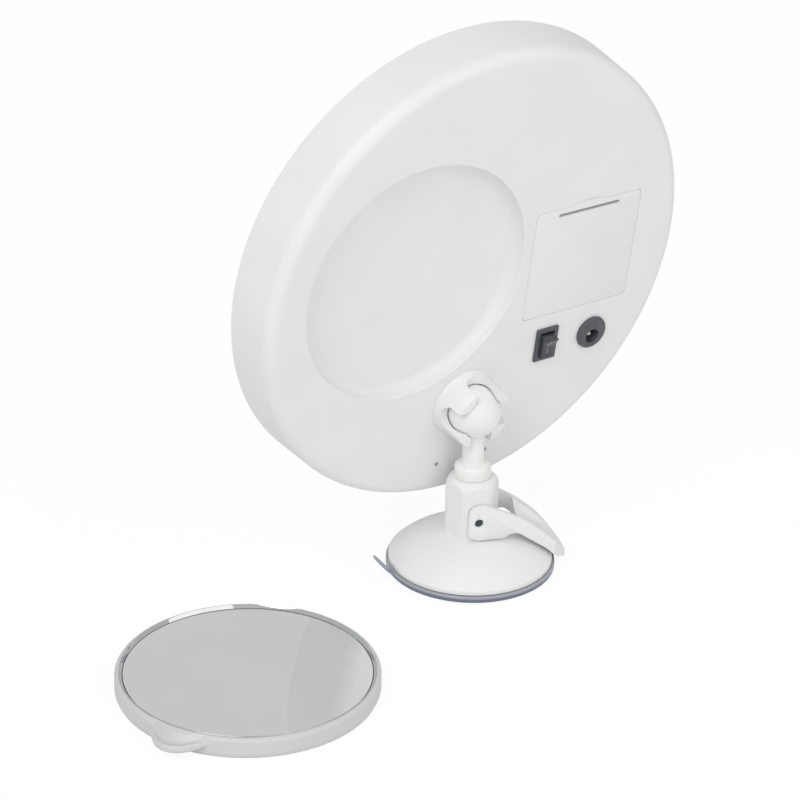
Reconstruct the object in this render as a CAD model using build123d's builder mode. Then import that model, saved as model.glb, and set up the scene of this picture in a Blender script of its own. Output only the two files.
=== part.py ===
# Lighted makeup mirror on a suction base, with a loose magnifying spot mirror.
# Lengths in mm and angles in degrees. The origin is the centre of the suction pad's underside,
# +Z is up, the mirror faces -Y and its back, with the battery bay, switch and jack, faces +Y.
import os
from math import cos, radians, sin, sqrt

from build123d import *

os.makedirs("parts", exist_ok=True)

# Driving dimensions of the suction base
pad_radius = 34.5
pad_rim_height = 2.6
shell_inset_width = 1.15
shell_wall = 2.0
shell_top_z = 15.8
column_flats = 20.0
column_top_z = 40.2
lever_heading = 158.0
pin_z = 24.2
pin_radius = 1.75
lever_overhang_length = 6.45
rod_drop = 1.8

# Driving dimensions of the ball joint
ball_z = 68.6
ball_radius = 10.75
ball_seat_depth = 7.3
stem_radius = 4.4
claw_opening_height = 6.8

# Driving dimensions of the head
head_lean = 9.0
head_front_radius = 100.0
head_taper_width = 1.6
head_thickness = 24.4
head_wall = 2.2
head_back_round = 5.0
ball_rim_height = 41.7
dish_rim_width = 15.8
dish_depth = 6.0
dish_x = 31.0
dish_y = 6.2
light_ring_width = 25.0
mirror_thickness = 2.8

# Driving dimensions of the battery lid, the switch and the power jack
lid_inset_width = 48.1
lid_y = -0.7
lid_width = 52.2
lid_height = 49.0
lid_thickness = 1.8
switch_inset_width = 60.3
switch_y = -39.0
switch_width = 10.8
switch_height = 15.1
jack_inset_width = 36.9
jack_y = -39.7
jack_flange_radius = 7.1

# Driving dimensions of the loose spot mirror
spot_x = 128.4
spot_y = 32.6
spot_radius = 50.4
spot_height = 8.6
spot_ring_width = 2.2

# Sizes and places that follow from the pad's rim and from the head's
shell_radius = pad_radius - shell_inset_width
head_back_radius = head_front_radius - head_taper_width
ball_below_centre = head_back_radius - ball_rim_height
dish_radius = head_back_radius - dish_rim_width - sqrt(dish_x ** 2 + dish_y ** 2)
lid_x = lid_inset_width - head_back_radius
switch_x = switch_inset_width - head_back_radius
jack_x = jack_inset_width - head_back_radius

# Clearances and overrun
seat_gap = 0.3
seam_gap = 0.3
running_gap = 0.1
overrun = 1.0

# Planes: the head's back face and the upright plane of the lever
lean = radians(head_lean)
head_up = Vector(0, sin(lean), cos(lean))
head_front = Vector(0, -cos(lean), sin(lean))
ball_centre = Vector(0, 0, ball_z)
head_origin = ball_centre + head_up * ball_below_centre + head_front * ball_seat_depth
back_face = Plane(origin=head_origin, x_dir=(1, 0, 0), z_dir=head_front)
head_section = Plane(origin=head_origin, x_dir=(1, 0, 0), z_dir=-head_up)
head_axis = Axis(head_origin, head_front)
socket_face = Plane(origin=ball_centre, x_dir=(1, 0, 0), z_dir=-head_front)
socket_section = Plane(origin=ball_centre, x_dir=(1, 0, 0), z_dir=head_up)
socket_side_section = Plane(origin=ball_centre, x_dir=-head_up, z_dir=(1, 0, 0))
socket_axis = Axis(ball_centre, -head_front)
heading = radians(lever_heading)
lever_along = Vector(cos(heading), sin(heading), 0)
lever_across = Vector(sin(heading), -cos(heading), 0)
lever_side = Plane(origin=(0, 0, pin_z), x_dir=lever_along, z_dir=lever_across)
lever_plan = Plane(origin=(0, 0, 0), x_dir=lever_along, z_dir=(0, 0, 1))
spot_floor = Plane(origin=(spot_x, spot_y, 0), x_dir=(1, 0, 0), z_dir=(0, 0, 1))
spot_section = Plane(origin=(spot_x, spot_y, 0), x_dir=(1, 0, 0), z_dir=(0, -1, 0))
spot_axis = Axis((spot_x, spot_y, 0), (0, 0, 1))

# Suction pad: soft disc with a boss that grips the foot of the pull rod, and a peel tab at its rim
boss_radius = 9.6
boss_top_z = 9.4
foot_radius = 7.0
foot_thickness = 1.9
rod_neck_radius = 3.8
pad_floor = 2.2
foot_cavity_top = pad_floor + rod_drop + foot_thickness + 2 * seat_gap
tab_heading = -14.5
tab_thickness = 1.3
tab_width = 8.0
tab_flat_length = 2.4
tab_flat_end = pad_radius + tab_flat_length
tab_tip_radius = 42.6
tab_tip_z = 9.4
tab_round_share = 0.4
tab_plane = Plane(
    origin=(0, 0, 0),
    x_dir=(cos(radians(tab_heading)), sin(radians(tab_heading)), 0),
    z_dir=(sin(radians(tab_heading)), -cos(radians(tab_heading)), 0),
)
with BuildPart() as suction_pad:
    with BuildSketch(Plane.XZ):
        with BuildLine():
            Polyline(
                (0, 0),
                (pad_radius, 0),
                (pad_radius, pad_rim_height),
                (boss_radius, pad_rim_height),
                (boss_radius, boss_top_z),
                (rod_neck_radius + seat_gap, boss_top_z),
                (rod_neck_radius + seat_gap, foot_cavity_top),
                (foot_radius + seat_gap, foot_cavity_top),
                (foot_radius + seat_gap, pad_floor),
                (0, pad_floor),
                close=True,
            )
        make_face()
    revolve(axis=Axis.Z)
    with BuildSketch(tab_plane):
        with BuildLine():
            tab_foot = Line((pad_radius - overrun, tab_thickness), (tab_flat_end, tab_thickness))
            TangentArc(tab_foot @ 1, (tab_tip_radius, tab_tip_z), tangent=tab_foot % 1)
        trace(line_width=tab_thickness)
    extrude(amount=tab_width / 2, both=True)
    tab_tip = tab_plane.from_local_coords((tab_tip_radius, tab_tip_z))
    tab_end = suction_pad.faces().sort_by_distance(tab_tip)[0]
    fillet(tab_end.edges().sort_by(SortBy.LENGTH)[:2], tab_round_share * tab_width)
suction_pad.part.label = "suction_pad"
export_step(suction_pad.part, "parts/suction_pad.step")

# Base shell: domed cover pressed on the pad, with the six-sided column that guides rod and stem
shell_foot_z = pad_rim_height + seat_gap
shell_lip_height = 1.8
shell_lip_top_z = shell_foot_z + shell_lip_height
shell_lip_round = 0.5
shell_dome_share = 0.096
column_round = 4.6
column_edge_round = 3.4
column_corner_share = 0.5575
column_root_share = 0.55
column_envelope_radius = column_corner_share * column_flats
column_root_radius = column_root_share * column_flats
shaft_radius = 4.0
shaft_bore_radius = shaft_radius + running_gap
shaft_ledge_z = 31.2
rod_radius = 5.1
rod_bore_radius = rod_radius + running_gap
shell_ceiling_z = shell_top_z - shell_wall
shell_inner_radius = shell_radius - shell_wall
shell_dome_rise = shell_dome_share * (shell_radius - column_root_radius)
shell_inner_rise = shell_dome_share * (shell_inner_radius - column_root_radius)
pin_slot_half = pin_radius + running_gap
with BuildPart() as base_shell:
    with BuildSketch(Plane.XY.offset(shell_ceiling_z)) as column_plan:
        RegularPolygon(column_flats / 2, 6, major_radius=False, rotation=lever_heading)
        fillet(column_plan.vertices(), column_edge_round)
    extrude(amount=column_top_z - shell_ceiling_z)
    with BuildSketch(Plane.XZ) as column_envelope:
        Rectangle(column_envelope_radius, column_top_z, align=(Align.MIN, Align.MIN))
        shoulder = column_envelope.vertices().group_by(Axis.X)[-1].sort_by(Axis.Y)[-1]
        fillet(shoulder, column_round)
    revolve(axis=Axis.Z, mode=Mode.INTERSECT)
    with BuildSketch(Plane.XZ) as shell_profile:
        with BuildLine():
            Line((shell_radius, shell_foot_z), (shell_radius, shell_lip_top_z))
            SagittaArc((shell_radius, shell_lip_top_z), (column_root_radius, shell_top_z), -shell_dome_rise)
            Polyline(
                (column_root_radius, shell_top_z),
                (0, shell_top_z),
                (0, shell_ceiling_z),
                (column_root_radius, shell_ceiling_z),
            )
            SagittaArc((column_root_radius, shell_ceiling_z), (shell_inner_radius, shell_foot_z), shell_inner_rise)
            Line((shell_inner_radius, shell_foot_z), (shell_radius, shell_foot_z))
        make_face()
        lip = shell_profile.vertices().sort_by_distance((shell_radius, shell_lip_top_z))[0]
        fillet(lip, shell_lip_round)
    revolve(axis=Axis.Z)
    with BuildSketch(Plane.XY):
        Circle(rod_bore_radius)
    extrude(amount=shaft_ledge_z, mode=Mode.SUBTRACT)
    with BuildSketch(Plane.XY.offset(shaft_ledge_z - overrun)):
        Circle(shaft_bore_radius)
    extrude(amount=column_top_z - shaft_ledge_z + 2 * overrun, mode=Mode.SUBTRACT)
    with BuildSketch(lever_side):
        with Locations((0, -rod_drop / 2)):
            SlotCenterToCenter(rod_drop, 2 * pin_slot_half, rotation=90)
    extrude(amount=column_flats, both=True, mode=Mode.SUBTRACT)
base_shell.part.label = "base_shell"
export_step(base_shell.part, "parts/base_shell.step")

# Pull rod: slides in the column, carries the lever's pin and pulls the pad's centre up
rod_top_z = 27.8
foot_top_z = foot_cavity_top - seat_gap
rod_shoulder_z = boss_top_z + rod_drop + seat_gap
with BuildPart() as pull_rod:
    with BuildSketch(Plane.XZ):
        with BuildLine():
            Polyline(
                (0, foot_top_z - foot_thickness),
                (foot_radius, foot_top_z - foot_thickness),
                (foot_radius, foot_top_z),
                (rod_neck_radius, foot_top_z),
                (rod_neck_radius, rod_shoulder_z),
                (rod_radius, rod_shoulder_z),
                (rod_radius, rod_top_z),
                (0, rod_top_z),
                close=True,
            )
        make_face()
    revolve(axis=Axis.Z)
    with BuildSketch(lever_side):
        Circle(pin_radius)
    extrude(amount=rod_radius + overrun, both=True, mode=Mode.SUBTRACT)
pull_rod.part.label = "pull_rod"
export_step(pull_rod.part, "parts/pull_rod.step")

# Lever: a fork whose cheeks straddle the column, joined by a broad thumb plate towards its tip
cheek_thickness = 2.1
cheek_inner = column_flats / 2 + seat_gap
cheek_outer = cheek_inner + cheek_thickness
lever_length = shell_radius + lever_overhang_length
lever_foot_gap = 0.64
lever_depth = pin_z - shell_top_z - lever_foot_gap
fork_end_share = 0.48
fork_end = fork_end_share * lever_length
hollow_fall = 35.0
hollow_radius_share = 0.95
hollow_floor_share = -0.56
hollow_radius = hollow_radius_share * cheek_inner
hollow_along = lever_along * cos(radians(hollow_fall)) - Vector(0, 0, sin(radians(hollow_fall)))
hollow_rise = lever_along * sin(radians(hollow_fall)) + Vector(0, 0, cos(radians(hollow_fall)))
hollow_floor = lever_side.from_local_coords((fork_end, hollow_floor_share * lever_depth))
lever_top_shares = [(-0.097, 0.49), (-0.08, 0.71), (-0.023, 0.9), (0.06, 0.92), (0.156, 0.76),
                    (0.226, 0.59), (0.302, 0.41), (0.377, 0.23), (0.452, 0.01), (0.528, -0.24),
                    (0.603, -0.54), (0.704, -0.97), (0.804, -1.47), (0.879, -1.91), (0.942, -2.32),
                    (0.985, -2.63), (1.0, -2.8)]
lever_under_shares = [(0.995, -2.89), (0.97, -2.93), (0.925, -2.77), (0.864, -2.53), (0.804, -2.27),
                      (0.754, -2.01), (0.704, -1.79), (0.628, -1.52), (0.553, -1.26), (0.477, -0.99),
                      (0.422, -0.81), (0.367, -0.77), (0.317, -0.83), (0.271, -0.96), (0.226, -1.0),
                      (0.101, -1.0), (-0.023, -0.99), (-0.068, -0.88), (-0.098, -0.72), (-0.103, -0.41)]
lever_plan_shares = [(0.72, 1.0), (0.80, 0.955), (0.86, 0.82), (0.91, 0.64), (0.955, 0.44), (0.985, 0.26)]
lever_near_side = [(a * lever_length, b * cheek_outer) for a, b in lever_plan_shares]
lever_far_side = [(a, -b) for a, b in reversed(lever_near_side)]
with BuildPart() as lever:
    with BuildSketch(lever_side):
        with BuildLine():
            top_line = Spline([(a * lever_length, b * lever_depth) for a, b in lever_top_shares])
            under_line = Spline([(a * lever_length, b * lever_depth) for a, b in lever_under_shares])
            Line(top_line @ 1, under_line @ 0)
            Line(under_line @ 1, top_line @ 0)
        make_face()
    extrude(amount=cheek_outer, both=True)
    with BuildSketch(lever_plan):
        with BuildLine():
            Polyline(
                lever_far_side[-1],
                (-lever_length, -cheek_outer),
                (-lever_length, cheek_outer),
                lever_near_side[0],
            )
            Spline(lever_near_side + [(lever_length, 0)] + lever_far_side, tangents=[(1, 0), (-1, 0)])
        make_face()
    extrude(amount=pin_z + lever_length, mode=Mode.INTERSECT)
    with BuildSketch(lever_plan):
        with Locations((fork_end - lever_length, 0)):
            RectangleRounded(2 * lever_length, 2 * cheek_inner, cheek_inner / 3)
    extrude(amount=pin_z + lever_length, mode=Mode.SUBTRACT)
    hollow_centre = hollow_floor + hollow_rise * hollow_radius
    with BuildSketch(Plane(origin=hollow_centre, x_dir=lever_across, z_dir=hollow_along)):
        Circle(hollow_radius)
    extrude(amount=lever_length, both=True, mode=Mode.SUBTRACT)
    with BuildSketch(lever_side):
        Circle(pin_radius + running_gap / 2)
    extrude(amount=cheek_outer + overrun, both=True, mode=Mode.SUBTRACT)
lever.part.label = "lever"
export_step(lever.part, "parts/lever.step")

# Lever pin: steel, pressed through the rod, its ends sunk in the lever's cheeks
pin_end_sink = 0.7
with BuildPart() as lever_pin:
    with BuildSketch(lever_side):
        Circle(pin_radius)
    extrude(amount=cheek_outer - pin_end_sink, both=True)
    chamfer(lever_pin.edges().filter_by(GeomType.CIRCLE), pin_radius / 5)
lever_pin.part.label = "lever_pin"
export_step(lever_pin.part, "parts/lever_pin.step")

# Ball stem: ball, stem, collar and the shaft that turns in the column
neck_radius = 6.4
neck_height = 0.25
collar_radius = 7.45
collar_side_height = 3.15
collar_round = 2.75
neck_top_z = column_top_z + neck_height
collar_side_top_z = neck_top_z + collar_side_height
collar_top_z = collar_side_top_z + collar_round
collar_top_radius = collar_radius - collar_round
shaft_end_z = shaft_ledge_z
screw_thread_radius = 1.25
screw_hole_depth = 6.0
with BuildPart() as ball_stem:
    with BuildSketch(Plane.XZ):
        with BuildLine():
            Polyline(
                (collar_radius, collar_side_top_z),
                (collar_radius, neck_top_z),
                (neck_radius, neck_top_z),
                (neck_radius, column_top_z + running_gap),
                (shaft_radius, column_top_z + running_gap),
                (shaft_radius, shaft_end_z),
                (0, shaft_end_z),
                (0, ball_z),
                (stem_radius, ball_z),
                (stem_radius, collar_top_z),
                (collar_top_radius, collar_top_z),
            )
            RadiusArc((collar_top_radius, collar_top_z), (collar_radius, collar_side_top_z), collar_round)
        make_face()
    revolve(axis=Axis.Z)
    with Locations((0, 0, ball_z)):
        Sphere(ball_radius)
    with BuildSketch(Plane.XY.offset(shaft_end_z)):
        Circle(screw_thread_radius)
    extrude(amount=screw_hole_depth, mode=Mode.SUBTRACT)
ball_stem.part.label = "ball_stem"
export_step(ball_stem.part, "parts/ball_stem.step")

# Stem washer and screw: hold the shaft in the column from below, and turn with it
washer_radius = rod_bore_radius - running_gap
washer_thickness = 1.0
washer_top_z = shaft_ledge_z - running_gap
with BuildPart() as stem_washer:
    with BuildSketch(Plane.XY.offset(washer_top_z - washer_thickness)):
        Circle(washer_radius)
        Circle(screw_thread_radius + running_gap, mode=Mode.SUBTRACT)
    extrude(amount=washer_thickness)
stem_washer.part.label = "stem_washer"
export_step(stem_washer.part, "parts/stem_washer.step")

stem_screw_head_radius = 2.4
stem_screw_head_height = 1.7
stem_screw_cross_length = 2.9
stem_screw_cross_width = 0.7
with BuildPart() as stem_screw:
    with BuildSketch(Plane.XY.offset(washer_top_z - washer_thickness - stem_screw_head_height)):
        Circle(stem_screw_head_radius)
    extrude(amount=stem_screw_head_height)
    with BuildSketch(Plane.XY.offset(washer_top_z - washer_thickness)):
        Circle(screw_thread_radius - running_gap / 2)
    extrude(amount=washer_thickness + screw_hole_depth)
    with BuildSketch(Plane.XY.offset(washer_top_z - washer_thickness - stem_screw_head_height)):
        Rectangle(stem_screw_cross_length, stem_screw_cross_width)
        Rectangle(stem_screw_cross_width, stem_screw_cross_length)
    extrude(amount=stem_screw_head_height / 2, mode=Mode.SUBTRACT)
stem_screw.part.label = "stem_screw"
export_step(stem_screw.part, "parts/stem_screw.step")

# Rear cover: the head's deep white dish, with the storage dish, battery opening and cut-outs in its back
rim_inner_radius = head_front_radius - head_wall
wall_foot_radius = head_back_radius - head_wall
socket_hole_radius = 14.3
lid_corner_radius = 2.2
lid_bump_half = 7.65
lid_bump_height = 1.0
lid_ledge = 1.5
lid_ledge_depth = 1.5
lid_frame_wall = 1.6
lid_frame_width = lid_width + 2 * lid_frame_wall
lid_frame_height = lid_height + 2 * lid_frame_wall
lid_tab_pair_width = 28.0
lid_tab_width = 8.0
lid_tab_reach = 1.4
scoop_radius = 7.0
scoop_depth = 1.6
scoop_drop = 2.5
switch_cut_width = 8.6
switch_cut_height = 13.4
jack_barrel_radius = 5.6
cover_screw_pair_width = 24.2
cover_screw_x = -2.4
cover_screw_inset_width = 14.2
cover_screw_y = cover_screw_inset_width - head_back_radius
cover_screw_hole_radius = 1.25
screw_boss_radius = 3.0
screw_boss_depth = 7.0
cover_screw_shank_radius = 0.7
cover_screw_ledge = 2.2
cover_screw_places = [
    (cover_screw_x - cover_screw_pair_width / 2, cover_screw_y),
    (cover_screw_x + cover_screw_pair_width / 2, cover_screw_y),
]
dish_floor_round = 2.5
dish_mark_x = -13.6
dish_mark_y = 1.0
dish_mark_radius = 2.0
dish_mark_height = 0.6
dish_mark_pit_radius = 0.5
scoop_sphere_radius = (scoop_radius ** 2 + scoop_depth ** 2) / (2 * scoop_depth)
lid_top_y = lid_y + lid_height / 2
lid_foot_y = lid_y - lid_height / 2
lid_tab_left_x = lid_x - lid_tab_pair_width / 2
lid_tab_right_x = lid_x + lid_tab_pair_width / 2
lid_tab_places = [(lid_tab_left_x, lid_foot_y), (lid_tab_right_x, lid_foot_y)]
with BuildPart() as rear_cover:
    with BuildSketch(head_section) as cover_profile:
        with BuildLine():
            Polyline(
                (0, 0),
                (head_back_radius, 0),
                (head_front_radius, head_thickness),
                (rim_inner_radius, head_thickness),
                (wall_foot_radius, head_wall),
                (0, head_wall),
                close=True,
            )
        make_face()
        fillet(cover_profile.vertices().sort_by_distance((head_back_radius, 0))[0], head_back_round)
        fillet(cover_profile.vertices().sort_by_distance((wall_foot_radius, head_wall))[0],
               head_back_round - head_wall)
    revolve(axis=head_axis)
    with BuildSketch(back_face.offset(head_wall / 2)):
        with Locations((dish_x, dish_y)):
            Circle(dish_radius + head_wall)
    extrude(amount=dish_depth + head_wall / 2)
    with BuildSketch(back_face):
        with Locations((dish_x, dish_y)):
            Circle(dish_radius)
    extrude(amount=dish_depth, mode=Mode.SUBTRACT)
    dish_corner = rear_cover.edges().filter_by(GeomType.CIRCLE).sort_by_distance(
        back_face.offset(dish_depth).from_local_coords((dish_x, dish_y + dish_radius)))[0]
    fillet(dish_corner, dish_floor_round)
    with BuildSketch(back_face.offset(dish_depth - dish_mark_height)):
        with Locations((dish_mark_x, dish_mark_y)):
            Circle(dish_mark_radius)
            Circle(dish_mark_pit_radius, mode=Mode.SUBTRACT)
    extrude(amount=dish_mark_height)
    with BuildSketch(back_face.offset(head_wall - running_gap)):
        with Locations((lid_x, lid_y)):
            RectangleRounded(lid_frame_width, lid_frame_height, lid_corner_radius)
    extrude(amount=lid_ledge_depth + running_gap)
    with BuildSketch(back_face.offset(-overrun)):
        with Locations((lid_x, lid_y)):
            RectangleRounded(lid_width + 2 * seam_gap, lid_height + 2 * seam_gap, lid_corner_radius)
        with Locations((lid_x, lid_top_y)):
            Ellipse(lid_bump_half + seam_gap, lid_bump_height + seam_gap)
    extrude(amount=overrun + head_wall, mode=Mode.SUBTRACT)
    with BuildSketch(back_face):
        with Locations((lid_x, lid_y)):
            RectangleRounded(lid_width - 2 * lid_ledge, lid_height - 2 * lid_ledge, lid_corner_radius)
    extrude(amount=head_wall + lid_ledge_depth + overrun, mode=Mode.SUBTRACT)
    with BuildSketch(back_face.offset(head_wall)):
        with Locations(*lid_tab_places):
            Rectangle(lid_tab_width + 2 * seam_gap, 2 * (lid_tab_reach + seam_gap))
    extrude(amount=lid_ledge_depth + overrun, mode=Mode.SUBTRACT)
    with BuildSketch(back_face.offset(head_wall / 2)):
        with Locations(*cover_screw_places):
            Circle(screw_boss_radius)
    extrude(amount=screw_boss_depth - head_wall / 2)
    with BuildSketch(back_face.offset(-overrun)):
        with Locations(*cover_screw_places):
            Circle(cover_screw_hole_radius)
    extrude(amount=overrun + cover_screw_ledge, mode=Mode.SUBTRACT)
    with BuildSketch(back_face):
        with Locations(*cover_screw_places):
            Circle(cover_screw_shank_radius + running_gap)
    extrude(amount=screw_boss_depth + overrun, mode=Mode.SUBTRACT)
    with Locations(back_face.offset(scoop_depth - scoop_sphere_radius).from_local_coords(
            (lid_x, lid_top_y - scoop_drop))):
        Sphere(scoop_sphere_radius, mode=Mode.SUBTRACT)
    with BuildSketch(back_face.offset(-overrun)):
        with Locations((0, -ball_below_centre)):
            Circle(socket_hole_radius)
        with Locations((switch_x, switch_y)):
            Rectangle(switch_cut_width, switch_cut_height)
        with Locations((jack_x, jack_y)):
            Circle(jack_barrel_radius + running_gap)
    extrude(amount=overrun + head_wall + overrun, mode=Mode.SUBTRACT)
rear_cover.part.label = "rear_cover"
export_step(rear_cover.part, "parts/rear_cover.step")

# Battery lid: flush plate with a sprung top edge above its slot and two tabs under the cover at its foot
lid_slot_length = 30.5
lid_slot_width = 1.0
lid_slot_drop = 3.05
lid_tab_thickness = 0.9
lid_tab_root = 1.5
lid_rib_height = 1.2
lid_rib_width = 1.0
with BuildPart() as battery_lid:
    with BuildSketch(back_face):
        with Locations((lid_x, lid_y)):
            RectangleRounded(lid_width, lid_height, lid_corner_radius)
        with Locations((lid_x, lid_top_y)):
            Ellipse(lid_bump_half, lid_bump_height)
        with Locations((lid_x, lid_top_y - lid_slot_drop)):
            SlotOverall(lid_slot_length, lid_slot_width, mode=Mode.SUBTRACT)
    extrude(amount=lid_thickness)
    with BuildSketch(back_face.offset(lid_thickness)):
        with Locations((lid_x, lid_y - lid_height / 4), (lid_x, lid_y + lid_height / 4)):
            Rectangle(lid_width - 4 * lid_ledge, lid_rib_width)
    extrude(amount=lid_rib_height)
    with BuildSketch(back_face.offset(lid_thickness)):
        with Locations(*lid_tab_places):
            Rectangle(lid_tab_width, lid_tab_root, align=(Align.CENTER, Align.MIN))
    extrude(amount=head_wall + seam_gap + lid_tab_thickness - lid_thickness)
    with BuildSketch(back_face.offset(head_wall + seam_gap)):
        with Locations(*lid_tab_places):
            Rectangle(lid_tab_width, 2 * lid_tab_reach)
    extrude(amount=lid_tab_thickness)
battery_lid.part.label = "battery_lid"
export_step(battery_lid.part, "parts/battery_lid.step")

# Battery tray: open box behind the lid for four AAA cells side by side, with low dividers between them
tray_wall = 1.4
tray_rim_depth = head_wall + lid_ledge_depth + seat_gap
tray_floor_depth = 14.6
tray_inner_width = lid_width - 2 * lid_ledge
tray_inner_height = lid_height - 2 * lid_ledge
cell_count = 4
cell_end_gap_width = 0.6
cell_row_height = (tray_inner_height - 2 * cell_end_gap_width) / cell_count
divider_height = 3.0
divider_length_share = 0.7
with BuildPart() as battery_tray:
    with BuildSketch(back_face.offset(tray_rim_depth)):
        with Locations((lid_x, lid_y)):
            Rectangle(tray_inner_width + 2 * tray_wall, tray_inner_height + 2 * tray_wall)
    extrude(amount=tray_floor_depth + tray_wall - tray_rim_depth)
    with BuildSketch(back_face.offset(tray_rim_depth)):
        with Locations((lid_x, lid_y)):
            Rectangle(tray_inner_width, tray_inner_height)
    extrude(amount=tray_floor_depth - tray_rim_depth, mode=Mode.SUBTRACT)
    with BuildSketch(back_face.offset(tray_floor_depth - divider_height)):
        with Locations((lid_x, lid_y)):
            with GridLocations(0, cell_row_height, 1, cell_count - 1):
                Rectangle(divider_length_share * tray_inner_width, tray_wall)
    extrude(amount=divider_height)
battery_tray.part.label = "battery_tray"
export_step(battery_tray.part, "parts/battery_tray.step")

# Battery contacts: one flat plate with a bump and one bowed leaf spring for each cell, in turn at both ends
contact_thickness = 0.4
contact_size = 8.0
bump_radius = 1.2
leaf_rise = 3.0
cell_axis_depth = tray_floor_depth - cell_row_height / 2
contact_top_depth = cell_axis_depth - contact_size / 2
with BuildPart() as battery_contacts:
    for cell in range(cell_count):
        row_y = lid_y + (cell - (cell_count - 1) / 2) * cell_row_height
        for end in (-1, 1):
            plate_x = lid_x + end * (tray_inner_width - contact_thickness) / 2
            inward = -end
            leaf_side = end if cell % 2 == 0 else -end
            with BuildSketch(back_face.offset(contact_top_depth)):
                with Locations((plate_x, row_y)):
                    Rectangle(contact_thickness, contact_size)
            extrude(amount=contact_size)
            if leaf_side > 0:
                with BuildSketch(back_face.offset(contact_top_depth + contact_size / 4)):
                    with BuildLine():
                        Polyline(
                            (plate_x, row_y - contact_size / 2),
                            (plate_x + inward * leaf_rise, row_y),
                            (plate_x, row_y + contact_size / 2),
                            (plate_x, row_y + contact_size / 2 - 2 * contact_thickness),
                            (plate_x + inward * (leaf_rise - contact_thickness), row_y),
                            (plate_x, row_y - contact_size / 2 + 2 * contact_thickness),
                            close=True,
                        )
                    make_face()
                extrude(amount=contact_size / 2)
            else:
                bump_x = plate_x + inward * (bump_radius - contact_thickness / 2)
                with BuildSketch(back_face.offset(contact_top_depth + contact_size / 2 - bump_radius)):
                    with Locations((bump_x, row_y)):
                        Circle(bump_radius)
                extrude(amount=2 * bump_radius)
battery_contacts.part.label = "battery_contacts"
export_step(battery_contacts.part, "parts/battery_contacts.step")

# Rocker switch: snap-in housing with its bezel on the back face, the rocker on two stub pins, and terminals
switch_bezel_height = 1.1
switch_body_depth = 9.5
switch_opening_width = 6.9
switch_opening_height = 11.4
switch_pocket_depth = 4.4
rocker_pivot_depth = 0.6
rocker_pin_radius = 0.8
rocker_rest_angle = 14.0
rocker_pivot = back_face.offset(rocker_pivot_depth).from_local_coords((switch_x, switch_y))
with BuildPart() as switch_housing:
    with BuildSketch(back_face.offset(-switch_bezel_height)):
        with Locations((switch_x, switch_y)):
            RectangleRounded(switch_width, switch_height, switch_bezel_height / 2)
    extrude(amount=switch_bezel_height)
    bezel_face = switch_housing.faces().sort_by(Axis(head_origin, -head_front))[-1]
    chamfer(bezel_face.edges(), switch_bezel_height / 4)
    with BuildSketch(back_face):
        with Locations((switch_x, switch_y)):
            Rectangle(switch_cut_width - 2 * running_gap, switch_cut_height - 2 * running_gap)
    extrude(amount=switch_body_depth)
    with BuildSketch(back_face.offset(-switch_bezel_height - overrun)):
        with Locations((switch_x, switch_y)):
            Rectangle(switch_opening_width, switch_opening_height)
    extrude(amount=overrun + switch_bezel_height + switch_pocket_depth, mode=Mode.SUBTRACT)
    with BuildSketch(Plane(origin=rocker_pivot, x_dir=head_up, z_dir=(1, 0, 0))):
        Circle(rocker_pin_radius + running_gap / 2)
    extrude(amount=(switch_cut_width - 2 * running_gap) / 2 - seat_gap, both=True, mode=Mode.SUBTRACT)
switch_housing.part.label = "switch_housing"
export_step(switch_housing.part, "parts/switch_housing.step")

rocker_half_length = 4.6
rocker_height = 4.2
rocker_dip = 0.7
rocker_pin_end = 0.3
rocker_outline_shares = [(-1.0, 1.0), (-1.065, 0.06), (-0.74, -0.53), (0.74, -0.53), (1.065, 0.06),
                         (1.0, 1.0)]
rocker_side = Plane(
    origin=rocker_pivot,
    x_dir=head_up * cos(radians(rocker_rest_angle)) - head_front * sin(radians(rocker_rest_angle)),
    z_dir=(1, 0, 0),
)
with BuildPart() as switch_rocker:
    with BuildSketch(rocker_side) as rocker_face:
        with BuildLine():
            Polyline([(a * rocker_half_length, -b * rocker_height) for a, b in rocker_outline_shares])
            ThreePointArc(
                (rocker_half_length, -rocker_height),
                (0, -(rocker_height - rocker_dip)),
                (-rocker_half_length, -rocker_height),
            )
        make_face()
    extrude(amount=switch_opening_width / 2 - seat_gap, both=True)
    with BuildSketch(rocker_side):
        Circle(rocker_pin_radius)
    extrude(amount=switch_opening_width / 2 + rocker_pin_end, both=True)
switch_rocker.part.label = "switch_rocker"
export_step(switch_rocker.part, "parts/switch_rocker.step")

# Switch terminals: two flat blades out of the housing's inner end
terminal_width = 2.0
terminal_thickness = 0.5
terminal_length = 4.0
terminal_row_height = 7.0
with BuildPart() as switch_terminals:
    with BuildSketch(back_face.offset(switch_body_depth)):
        with Locations((switch_x, switch_y)):
            with GridLocations(0, terminal_row_height, 1, 2):
                Rectangle(terminal_width, terminal_thickness)
    extrude(amount=terminal_length)
switch_terminals.part.label = "switch_terminals"
export_step(switch_terminals.part, "parts/switch_terminals.step")

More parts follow.
